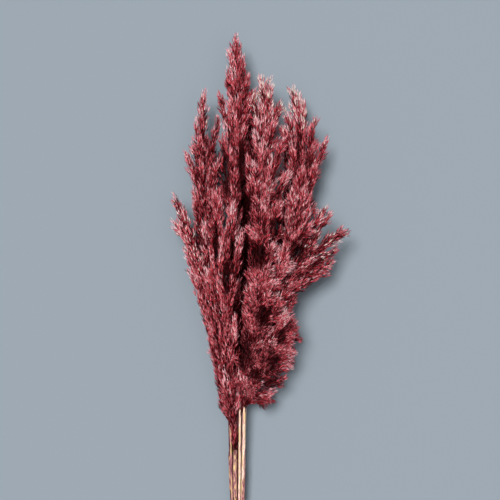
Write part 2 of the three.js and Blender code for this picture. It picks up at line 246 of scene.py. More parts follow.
class Shader:
    """A material's nodes."""

    def __init__(self, name: str) -> None:
        """Makes a material with only an output node."""
        self.material = bpy.data.materials.new(name)
        self.material.use_nodes = True
        self.tree = self.material.node_tree
        self.tree.nodes.clear()

    def add(self, kind: str, settings: dict[str, Any], inputs: dict[Any, Any]) -> Any:
        """Adds a node.

        Args:
            kind: The node's type name.
            settings: Its properties; "stops" sets a ramp's places and colours.
            inputs: Values or Sockets for its sockets, by name or number.

        Returns:
            The node.
        """
        node = self.tree.nodes.new(kind)
        for key, value in settings.items():
            if key == "stops":
                self._stops(node.color_ramp, value)
            else:
                setattr(node, key, value)
        for key, value in inputs.items():
            if isinstance(value, Socket):
                self.tree.links.new(value.source, node.inputs[key])
            else:
                node.inputs[key].default_value = value
        return node

    @staticmethod
    def _stops(ramp: Any, stops: Sequence[tuple[float, Colour]]) -> None:
        """Gives a colour ramp its stops."""
        while len(ramp.elements) < len(stops):
            ramp.elements.new(1.0)
        for element, (place, colour) in zip(ramp.elements, stops):
            element.position = place
            element.color = colour

    def out(self, node: Any, name: str | int = 0) -> Socket:
        """Wraps one of a node's outputs."""
        return Socket(self, node.outputs[name])

    def ramp(self, factor: Socket, stops: Sequence[tuple[float, Colour]]) -> Socket:
        """Turns a value into a colour by a ramp."""
        return self.out(self.add("ShaderNodeValToRGB", {"stops": stops}, {"Fac": factor}), "Color")

    def fade(
        self, value: Socket, low: float, high: float, to_low: float = 0.0, to_high: float = 1.0
    ) -> Socket:
        """Maps a value's range smoothly onto another.

        Args:
            value: What to map.
            low: The value that gives to_low.
            high: The value that gives to_high.
            to_low: The result at and below low.
            to_high: The result at and above high.

        Returns:
            The mapped value.
        """
        settings = {"interpolation_type": "SMOOTHSTEP"}
        inputs = {"Value": value, "From Min": low, "From Max": high, "To Min": to_low, "To Max": to_high}
        return self.out(self.add("ShaderNodeMapRange", settings, inputs), "Result")

    def mix(self, factor: Any, first: Any, second: Any) -> Socket:
        """Mixes two colours."""
        node = self.add("ShaderNodeMix", {"data_type": "RGBA"}, {"Factor": factor, 6: first, 7: second})
        return self.out(node, 2)

    def noise(self, across: float, along: float, detail: float) -> Socket:
        """Reads a noise in the piece's own coordinates.

        Args:
            across: Its scale across the stems.
            along: Its scale along them.
            detail: How many finer layers it has.

        Returns:
            The noise, 0 to 1.
        """
        place = self.out(self.add("ShaderNodeTexCoord", {}, {}), "Object")
        scale = {0: place, 1: (across, along, across)}
        stretched = self.out(self.add("ShaderNodeVectorMath", {"operation": "MULTIPLY"}, scale), "Vector")
        node = self.add("ShaderNodeTexNoise", {}, {"Vector": stretched, "Scale": 1.0, "Detail": detail})
        return self.out(node, "Fac")

    def bump(self, height: Socket, distance: float, strength: float = 1.0) -> Socket:
        """Turns a height into a normal."""
        inputs = {"Height": height, "Distance": distance, "Strength": strength}
        return self.out(self.add("ShaderNodeBump", {}, inputs), "Normal")

    def finish(self, inputs: dict[str, Any]) -> bpy.types.Material:
        """Ends the nodes in a Principled shader.

        Args:
            inputs: The shader's inputs by name.

        Returns:
            The material.
        """
        surface = self.add("ShaderNodeBsdfPrincipled", {}, inputs)
        self.add("ShaderNodeOutputMaterial", {}, {"Surface": self.out(surface)})
        return self.material


@dataclass(frozen=True)
class PlumeFinish:
    """Dyed spikelets.

    Across the map runs the tone, from deep burgundy to undyed cream, and up it runs each spikelet. The tones
    also carry painted shade and light, and each spikelet's base is painted darker as shade.
    """

    tones: tuple[tuple[float, Colour], ...] = (
        (0.00, tint(16, 0, 1)),
        (0.20, tint(78, 2, 9)),
        (0.36, tint(154, 10, 26)),
        (0.49, tint(214, 37, 55)),
        (0.58, tint(226, 89, 103)),
        (0.67, tint(238, 186, 192)),
        (0.80, tint(248, 228, 226)),
        (1.00, tint(255, 236, 170)),
    )
    # painted shade: the near-black that each spikelet's lower part is mixed towards
    base: Colour = tint(26, 0, 3)
    tip: Colour = tint(242, 182, 190)

    def material(self) -> bpy.types.Material:
        """Makes the material."""
        shader = Shader("dyed_plume")
        place = shader.out(shader.add("ShaderNodeUVMap", {"uv_map": MAP_NAME}, {}), "UV")
        split = shader.add("ShaderNodeSeparateXYZ", {}, {"Vector": place})
        tone, up = shader.out(split, "X"), shader.out(split, "Y")
        colour = shader.ramp(tone, self.tones)
        # painted shade towards each spikelet's base, where it sits among the others
        colour = shader.mix(shader.fade(up, 0.0, 0.40, 0.75, 0.0), colour, self.base)
        paling = shader.fade(up, 0.45, 0.95, 0.0, 0.38) * shader.fade(tone, 0.15, 0.40)
        colour = shader.mix(paling, colour, self.tip)
        return shader.finish({"Base Color": colour, "Roughness": 0.62, "Specular IOR Level": 0.10})


class StemDye(Enum):
    """How far the dye has run into a stem: its pale, straw, mauve and darkest colours."""

    CREAM = (tint(250, 224, 196), tint(216, 190, 128), tint(216, 150, 160), tint(150, 62, 84))
    MAUVE = (tint(188, 126, 128), tint(200, 172, 108), tint(136, 72, 84), tint(66, 6, 20))
    DYED = (tint(80, 12, 28), tint(100, 44, 40), tint(56, 2, 14), tint(30, 0, 6))


@dataclass(frozen=True)
class StemFinish:
    """Dried straw with long streaks where the dye has run."""

    dye: StemDye

    def material(self) -> bpy.types.Material:
        """Makes the material."""
        pale, straw, mauve, dark = self.dye.value
        shader = Shader(f"dried_stem_{self.dye.name.lower()}")
        broad = shader.noise(620.0, 3.0, 3.0)
        fine = shader.noise(1900.0, 8.0, 2.0)
        flecks = shader.noise(1500.0, 200.0, 4.0)
        colour = shader.mix(shader.fade(broad, 0.48, 0.56), pale, straw)
        colour = shader.mix(shader.fade(fine, 0.49, 0.60, 0.0, 0.85), colour, mauve)
        colour = shader.mix(shader.fade(broad, 0.44, 0.38, 0.0, 0.75), colour, dark)
        colour = shader.mix(shader.fade(flecks, 0.62, 0.70, 0.0, 0.8), colour, dark)
        height = fine * 0.6 + broad * 0.4
        return shader.finish({
            "Base Color": colour, "Roughness": shader.fade(flecks, 0.3, 0.7, 0.40, 0.60),
            "Normal": shader.bump(height, 0.0003, 0.6), "Specular IOR Level": 0.5,
        })


@dataclass(frozen=True)
class SheathFinish:
    """A papery dried leaf with long veins, mottled by the dye."""

    pale: Colour = tint(188, 130, 130)
    tan: Colour = tint(214, 186, 122)
    dye: Colour = tint(108, 40, 56)

    def material(self) -> bpy.types.Material:
        """Makes the material."""
        shader = Shader("leaf_sheath")
        veins = shader.noise(1300.0, 10.0, 2.0)
        mottle = shader.noise(1100.0, 150.0, 4.0)
        colour = shader.mix(shader.fade(veins, 0.43, 0.50), self.dye, self.pale)
        colour = shader.mix(shader.fade(veins, 0.54, 0.60), colour, self.tan)
        colour = shader.mix(shader.fade(mottle, 0.54, 0.64, 0.0, 0.85), colour, self.dye)
        return shader.finish({
            "Base Color": colour, "Roughness": 0.6, "Normal": shader.bump(veins, 0.00025, 0.8),
        })


@dataclass(frozen=True)
class BandFinish:
    """Natural rubber, a little dusty."""

    rubber: Colour = tint(206, 168, 112)
    dusty: Colour = tint(224, 198, 158)

    def material(self) -> bpy.types.Material:
        """Makes the material."""
        shader = Shader("elastic_band")
        dust = shader.noise(500.0, 500.0, 4.0)
        colour = shader.mix(shader.fade(dust, 0.45, 0.7), self.rubber, self.dusty)
        ribs = shader.noise(60.0, 2600.0, 1.0)
        return shader.finish({
            "Base Color": colour, "Roughness": 0.5, "Normal": shader.bump(ribs, 0.0002, 0.5),
        })


@dataclass(frozen=True)
class FloorFinish:
    """A plain pale matt surface."""

    colour: Colour = tint(127, 136, 144)

    def material(self) -> bpy.types.Material:
        """Makes the material."""
        return Shader("pale_floor").finish({"Base Color": self.colour, "Roughness": 0.9})


# ---------------------------------------------------------------- meshes and pieces


def add_object(name: str, mesh: bpy.types.Mesh) -> bpy.types.Object:
    """Puts a mesh in the scene as an object at the origin."""
    thing = bpy.data.objects.new(name, mesh)
    bpy.context.scene.collection.objects.link(thing)
    return thing


def to_mesh(shape: bmesh.types.BMesh, name: str) -> bpy.types.Mesh:
    """Ends a bmesh and gives its mesh."""
    mesh = bpy.data.meshes.new(name)
    shape.to_mesh(mesh)
    shape.free()
    return mesh


def count_triangles(things: Iterable[bpy.types.Object]) -> int:
    """Counts the triangles of some pieces."""
    total = 0
    for thing in things:
        thing.data.calc_loop_triangles()
        total += len(thing.data.loop_triangles)
    return total


def dress(thing: bpy.types.Object, material: bpy.types.Material, node: str) -> bpy.types.Object:
    """Finishes a piece, ties it to the frame and reports it.

    Args:
        thing: The piece.
        material: Its finish.
        node: The CAD node that it stands for.

    Returns:
        The piece.
    """
    thing.data.materials.clear()
    thing.data.materials.append(material)
    thing.data.polygons.foreach_set("use_smooth", [True] * len(thing.data.polygons))
    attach(thing, BODY)
    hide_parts(node)
    log.info("%s: %d triangles", thing.name, count_triangles([thing]))
    return thing


def evaluated_mesh(thing: bpy.types.Object, name: str) -> bpy.types.Mesh:
    """Applies everything on an object and gives the mesh that comes out."""
    graph = bpy.context.evaluated_depsgraph_get()
    finished = thing.evaluated_get(graph)
    made = bpy.data.meshes.new_from_object(finished, preserve_all_data_layers=True, depsgraph=graph)
    made.name = name
    return made


class Sweep:
    """A closed solid of round section that grows along a line, ring by ring."""

    def __init__(self, line: Line, sides: int) -> None:
        """Keeps the line and the number of sides."""
        self.line = line
        self.sides = sides

    def _frame(self, share: float, radius: float) -> Matrix:
        """Gives the matrix that takes a unit circle to its place on the line."""
        along = self.line.along(share)
        side = outward(along, np.array([0.0]))[0]
        up = np.cross(side, along[0])
        turn = Matrix((side, up, along[0])).transposed().to_4x4()
        return Matrix.Translation(self.line.at(share)[0]) @ turn @ Matrix.Diagonal((radius, radius, 1, 1))

    def build(self, stations: Sequence[tuple[float, float]]) -> bmesh.types.BMesh:
        """Makes the solid.

        Args:
            stations: A share of the line and a radius for each ring.

        Returns:
            The solid, with its first face at the start.
        """
        shape = bmesh.new()
        bmesh.ops.create_circle(shape, cap_ends=False, radius=1.0, segments=self.sides)
        edges = shape.edges[:]
        frames = [self._frame(share, radius) for share, radius in stations]
        bmesh.ops.transform(shape, matrix=frames[0], verts=shape.verts[:])
        bmesh.ops.contextual_create(shape, geom=edges)
        for before, after in zip(frames, frames[1:]):
            grown = bmesh.ops.extrude_edge_only(shape, edges=edges)["geom"]
            edges = [part for part in grown if isinstance(part, bmesh.types.BMEdge)]
            ring = [part for part in grown if isinstance(part, bmesh.types.BMVert)]
            bmesh.ops.transform(shape, matrix=after @ before.inverted(), verts=ring)
        bmesh.ops.contextual_create(shape, geom=edges)
        bmesh.ops.recalc_face_normals(shape, faces=shape.faces[:])
        return shape


# ---------------------------------------------------------------- spikelets


@dataclass(frozen=True)
class Blade:
    """One slender blade of a spikelet, for a spikelet of length one.

    Attributes:
        sides: How many sides it has.
        length: Its length.
        width: Its thickest width.
        lean: How far it leans out, in radians.
        turn: Which way it leans.
        paler: How much paler it is than the spikelet, as a step across the map.
    """

    sides: int
    length: float
    width: float
    lean: float
    turn: float
    paler: float


class SpikeletKind(Enum):
    """The spikelets that a plume is made of: their lemma, then their glumes and hairs."""

    FULL = (
        Blade(4, 1.00, 0.165, 0.00, 0.0, 0.00),
        Blade(3, 0.78, 0.115, 0.32, 0.4, 0.06),
        Blade(3, 0.94, 0.090, 0.22, 3.3, 0.19),
    )
    HAIRY = (
        Blade(4, 0.92, 0.150, 0.00, 0.0, 0.00),
        Blade(3, 0.90, 0.085, 0.28, 2.0, 0.18),
        Blade(3, 1.30, 0.028, 0.36, 0.3, 0.15),
    )
    PLAIN = (
        Blade(4, 1.00, 0.175, 0.00, 0.0, 0.00),
        Blade(3, 0.92, 0.100, 0.24, 1.0, 0.16),
    )

    def shape(self) -> bpy.types.Object:
        """Makes the spikelet, growing from the origin up Z."""
        shape = bmesh.new()
        layer = shape.loops.layers.uv.new(MAP_NAME)
        for blade in self.value:
            self._add(shape, layer, blade)
        kinds = list(SpikeletKind)
        return bpy.data.objects.new(f"spikelet_{kinds.index(self)}", to_mesh(shape, self.name))

    @staticmethod
    def _add(shape: bmesh.types.BMesh, layer: Any, blade: Blade) -> None:
        """Adds a blade, thickest a third of the way up, with its place on the map."""
        face_width = 0.0015  # across the map, so that every face has some area on it
        made = bmesh.ops.create_uvsphere(shape, u_segments=blade.sides, v_segments=2, radius=0.5)["verts"]
        for face in {face for vert in made for face in vert.link_faces}:
            for step, loop in enumerate(face.loops):
                loop[layer].uv = (blade.paler + face_width * (step % 2), loop.vert.co.z + 0.5)
        for vert in made:
            if abs(vert.co.z) < 0.1:  # the ring between the two ends
                vert.co.z -= 0.15
        stand = Matrix.Translation((0, 0, 0.5))
        grow = Matrix.Diagonal((blade.width, blade.width * 0.7, blade.length, 1)) @ stand
        lean = Matrix.Rotation(blade.turn, 4, "Z") @ Matrix.Rotation(blade.lean, 4, "X")
        bmesh.ops.transform(shape, matrix=lean @ grow, verts=made)


@dataclass
class Cloud:
    """Where a plume's spikelets grow."""

    places: list[np.ndarray] = field(default_factory=list)
    ways: list[np.ndarray] = field(default_factory=list)
    lengths: list[np.ndarray] = field(default_factory=list)
    tones: list[np.ndarray] = field(default_factory=list)
    widths: list[np.ndarray] = field(default_factory=list)

    def add(
        self, places: np.ndarray, ways: np.ndarray, lengths: np.ndarray, tones: np.ndarray, slim: float
    ) -> None:
        """Adds spikelets by their base, direction, length, tone and slimness."""
        self.widths.append(lengths * slim)
        self.places.append(places)
        self.ways.append(ways)
        self.lengths.append(lengths)
        self.tones.append(tones)


class Scatter:
    """Sets copies of the spikelets at the points of a cloud."""

    FULL, PLAIN = 0.45, 0.55  # the shares of the spikelets without extra hairs
    UNEVEN = (0.8, 1.2)  # how much the widths vary
    MAP_START, MAP_SPAN = 0.01, 0.79  # where a tone of zero lies across the map, and a tone of one beyond it

    def __init__(self) -> None:
        """Makes the spikelets and the nodes that place them."""
        self.shapes = bpy.data.collections.new("spikelets")
        for kind in SpikeletKind:
            self.shapes.objects.link(kind.shape())
        self.tree = bpy.data.node_groups.new("scatter", "GeometryNodeTree")
        self.tree.interface.new_socket("Geometry", in_out="INPUT", socket_type="NodeSocketGeometry")
        self.tree.interface.new_socket("Geometry", in_out="OUTPUT", socket_type="NodeSocketGeometry")
        points = self.tree.nodes.new("NodeGroupInput").outputs[0]
        shapes = self.tree.nodes.new("GeometryNodeCollectionInfo")
        shapes.inputs["Collection"].default_value = self.shapes
        shapes.inputs["Separate Children"].default_value = True
        shapes.inputs["Reset Children"].default_value = True
        copies = self.tree.nodes.new("GeometryNodeInstanceOnPoints")
        copies.inputs["Pick Instance"].default_value = True
        solid = self.tree.nodes.new("GeometryNodeRealizeInstances")
        result = self.tree.nodes.new("NodeGroupOutput")
        for source, target in (
            (points, copies.inputs["Points"]),
            (shapes.outputs[0], copies.inputs["Instance"]),
            (self._read("kind", "INT"), copies.inputs["Instance Index"]),
            (self._read("turn", "QUATERNION"), copies.inputs["Rotation"]),
            (self._read("size", "FLOAT_VECTOR"), copies.inputs["Scale"]),
            (copies.outputs["Instances"], solid.inputs["Geometry"]),
            (solid.outputs["Geometry"], result.inputs[0]),
        ):
            self.tree.links.new(source, target)

    def _read(self, name: str, kind: str) -> Any:
        """Adds a node that reads one of the points' values."""
        node = self.tree.nodes.new("GeometryNodeInputNamedAttribute")
        node.data_type = kind
        node.inputs["Name"].default_value = name
        return next(socket for socket in node.outputs if socket.enabled and socket.name == "Attribute")

    def fill(self, cloud: Cloud, rng: np.random.Generator, hairy: float, lowest: float) -> bpy.types.Mesh:
        """Makes all of a cloud's spikelets as one mesh.

        Args:
            cloud: The spikelets' places.
            rng: Picks their kinds and turns.
            hairy: The share of them that has extra hairs.
            lowest: The height that nothing may hang below.

        Returns:
            The mesh, with each face on the map at its spikelet's tone.
        """
        places, ways = np.vstack(cloud.places), np.vstack(cloud.ways)
        count = len(places)
        mesh = bpy.data.meshes.new("points")
        mesh.vertices.add(count)
        mesh.vertices.foreach_set("co", places.astype(np.float32).ravel())
        kinds = rng.choice(3, size=count, p=[self.FULL * (1 - hairy), hairy, self.PLAIN * (1 - hairy)])
        self._write(mesh, "kind", "INT", "value", kinds)
        self._write(mesh, "turn", "QUATERNION", "value", self._turns(ways, rng.uniform(0, 2 * math.pi, count)))
        lengths = np.concatenate(cloud.lengths)
        widths = np.concatenate(cloud.widths) * rng.uniform(*self.UNEVEN, count)
        sizes = np.stack([widths, widths, lengths], 1).astype(np.float32)
        self._write(mesh, "size", "FLOAT_VECTOR", "vector", sizes)
        self._write(mesh, "tone", "FLOAT", "value", np.concatenate(cloud.tones))
        points = add_object("points", mesh)
        points.modifiers.new("scatter", "NODES").node_group = self.tree
        made = evaluated_mesh(points, "spikelets")
        bpy.data.objects.remove(points)
        self._shift_map(made)
        self._lift(made, lowest)
        return made

    @staticmethod
    def _lift(mesh: bpy.types.Mesh, lowest: float) -> None:
        """Lifts what would hang below a height up to it."""
        co = np.empty(3 * len(mesh.vertices), np.float32)
        mesh.vertices.foreach_get("co", co)
        co = co.reshape(-1, 3)
        co[:, 2] = np.maximum(co[:, 2], lowest)
        mesh.vertices.foreach_set("co", co.ravel())

    @staticmethod
    def _write(mesh: bpy.types.Mesh, name: str, kind: str, key: str, values: np.ndarray) -> None:
        """Gives each point a value."""
        layer = mesh.attributes.new(name, kind, "POINT")
        layer.data.foreach_set(key, np.ascontiguousarray(values).ravel())

    @staticmethod
    def _turns(ways: np.ndarray, rolls: np.ndarray) -> np.ndarray:
        """Gives the quaternions that roll a spikelet about Z and then point it along its way."""
        half = unit(ways + np.array([0.0, 0.0, 1.0]))  # halfway between the two directions
        point = np.stack([half[:, 2], -half[:, 1], half[:, 0], np.zeros(len(ways))], 1)
        c, s = np.cos(rolls / 2), np.sin(rolls / 2)
        w, x, y, z = point.T
        return np.stack([w * c - z * s, x * c + y * s, y * c - x * s, w * s + z * c], 1).astype(np.float32)

    @classmethod
    def _shift_map(cls, mesh: bpy.types.Mesh) -> None:
        """Moves each face across the map by its spikelet's tone."""
        tones = np.empty(len(mesh.vertices), np.float32)
        mesh.attributes["tone"].data.foreach_get("value", tones)
        corners = np.empty(len(mesh.loops), np.int32)
        mesh.loops.foreach_get("vertex_index", corners)
        layer = mesh.uv_layers[MAP_NAME]
        uv = np.empty(2 * len(mesh.loops), np.float32)
        layer.uv.foreach_get("vector", uv)
        uv = uv.reshape(-1, 2)
        uv[:, 0] = cls.MAP_START + cls.MAP_SPAN * tones[corners] + uv[:, 0]
        layer.uv.foreach_set("vector", uv.ravel())
        for name in ("kind", "turn", "size", "tone"):
            if name in mesh.attributes:
                mesh.attributes.remove(mesh.attributes[name])

    def clear(self) -> None:
        """Removes the shapes and nodes once every plume is made."""
        for thing in self.shapes.objects[:]:
            bpy.data.objects.remove(thing)
        bpy.data.collections.remove(self.shapes)
        bpy.data.node_groups.remove(self.tree)


# ---------------------------------------------------------------- plumes


@dataclass(frozen=True)
class Habit:
    """How a plume grows. Its fingers are the small branches that carry the spikelets.

    Attributes:
        finger: A finger's length at the plume's base and at its tip.
        core: How far from a finger's middle its spikelets start.
        apart: The distance between fingers along the rachis.
        steepest: How far the fingers' ends bend out at most, in radians.
        curl: How much their ends stray from that, in radians.
        lean: How far the spikelets lean out from their finger, in radians.
        spikelet: A spikelet's length.
        slim: Its width, as a share of the full one.
        dense: Spikelets to a metre of finger.
        bare: The share of a finger, from its start, that has none.
        hairy: The share of spikelets with extra hairs.
        tone: How pale the plume is at its base, 0 to 1.
        rise: How much paler it is at its tip.
        mixed: How much the tone of a finger's spikelets varies.
        strand: How much the tone varies from finger to finger.
        blunt: The radius of a spray's end, as a share of its girth.
        cream: The share of undyed spikelets at its tips.
    """

    finger: tuple[float, float] = (0.050, 0.032)
    core: float = 0.0032
    apart: float = 0.0060
    steepest: float = 0.80
    curl: float = 0.10
    lean: float = 0.42
    spikelet: float = 0.0080
    slim: float = 0.82
    dense: float = 1300.0
    bare: float = 0.06
    hairy: float = 0.35
    tone: float = 0.42
    rise: float = 0.08
    mixed: float = 0.13
    strand: float = 0.07
    blunt: float = 0.16
    cream: float = 0.0


NEAT = Habit(finger=(0.050, 0.032), steepest=0.36, curl=0.06, lean=0.17, hairy=0.15, tone=0.47, rise=0.17,
             core=0.0036, mixed=0.12, strand=0.12, spikelet=0.0086, slim=0.66, dense=1600.0)
FINE = Habit(finger=(0.042, 0.028), steepest=0.38, curl=0.06, lean=0.19, spikelet=0.0080, hairy=0.15,
             tone=0.50, rise=0.17, core=0.0034, mixed=0.16, strand=0.12, dense=1650.0, cream=0.2, slim=0.64)
FLUFFY = Habit(finger=(0.034, 0.028), core=0.0040, steepest=0.90, curl=0.28, lean=0.30, hairy=0.35,
               tone=0.61, bare=0.24, rise=0.04, dense=2350.0, spikelet=0.0078, slim=0.68, mixed=0.11,
               strand=0.13, blunt=0.40)
LOBED = Habit(finger=(0.026, 0.022), core=0.0046, steepest=1.00, curl=0.38, lean=0.32, hairy=0.35,
              tone=0.64, bare=0.16, rise=-0.06, dense=2900.0, spikelet=0.0072, slim=0.70, mixed=0.10,
              strand=0.13, blunt=0.95)
PALE = Habit(finger=(0.040, 0.030), core=0.0038, steepest=0.46, curl=0.10, lean=0.21, hairy=0.35,
             tone=0.53, bare=0.15, rise=0.16, cream=0.7, spikelet=0.0086, slim=0.62, dense=1580.0,
             mixed=0.13, strand=0.11)
FLARED = Habit(finger=(0.042, 0.028), steepest=0.5, curl=0.06, lean=0.26, bare=0.12, hairy=0.35, tone=0.49,
               rise=0.06, cream=0.15, spikelet=0.0078, slim=0.68, dense=1800.0, mixed=0.12, strand=0.11)
HIDDEN = Habit(tone=0.40, rise=0.05, steepest=0.50, apart=0.0078, dense=1150.0, core=0.0040, spikelet=0.0092,
               slim=0.80, mixed=0.14, strand=0.10)


def metres(sizes: Iterable[float]) -> tuple[float, ...]:
    """Turns millimetres into metres."""
    return tuple(size / 1000 for size in sizes)


@dataclass(frozen=True)
class Spray:
    """A large branch: where it leaves the rachis, where it ends above the neck, and its radius."""

    start: float
    tip: Triple
    girth: float


@dataclass(frozen=True)
class Stalk:
    """One stalk's plume.

    Attributes:
        name: The stalk's name.
        habit: How the plume grows.
        girth: The radius of its middle, without its sprays.
        collar: How far down the stem its lowest fingers grow.
        rachis: The points that its rachis passes above the neck.
        sprays: Its sprays.
    """

    name: str
    habit: Habit
    girth: float
    collar: float
    rachis: tuple[Triple, ...]
    sprays: tuple[Spray, ...]

    @classmethod
    def measured(
        cls, name: str, habit: Habit, girth: float, collar: float, rachis: Sequence[Triple],
        sprays: Sequence[tuple[float, ...]],
    ) -> "Stalk":
        """Makes a stalk from sizes in millimetres.

        Args:
            name: The stalk's name.
            habit: How the plume grows.
            girth: The radius of its middle, without its sprays.
            collar: How far down the stem its lowest fingers grow.
            rachis: The points that its rachis passes above the neck.
            sprays: For each spray, the share of the rachis where it starts, then its tip and its radius.

        Returns:
            The stalk, in metres.
        """
        girth, collar = metres((girth, collar))
        branches = tuple(Spray(start, metres(tip), *metres([radius])) for start, *tip, radius in sprays)
        return cls(name, habit, girth, collar, tuple(metres(point) for point in rachis), branches)


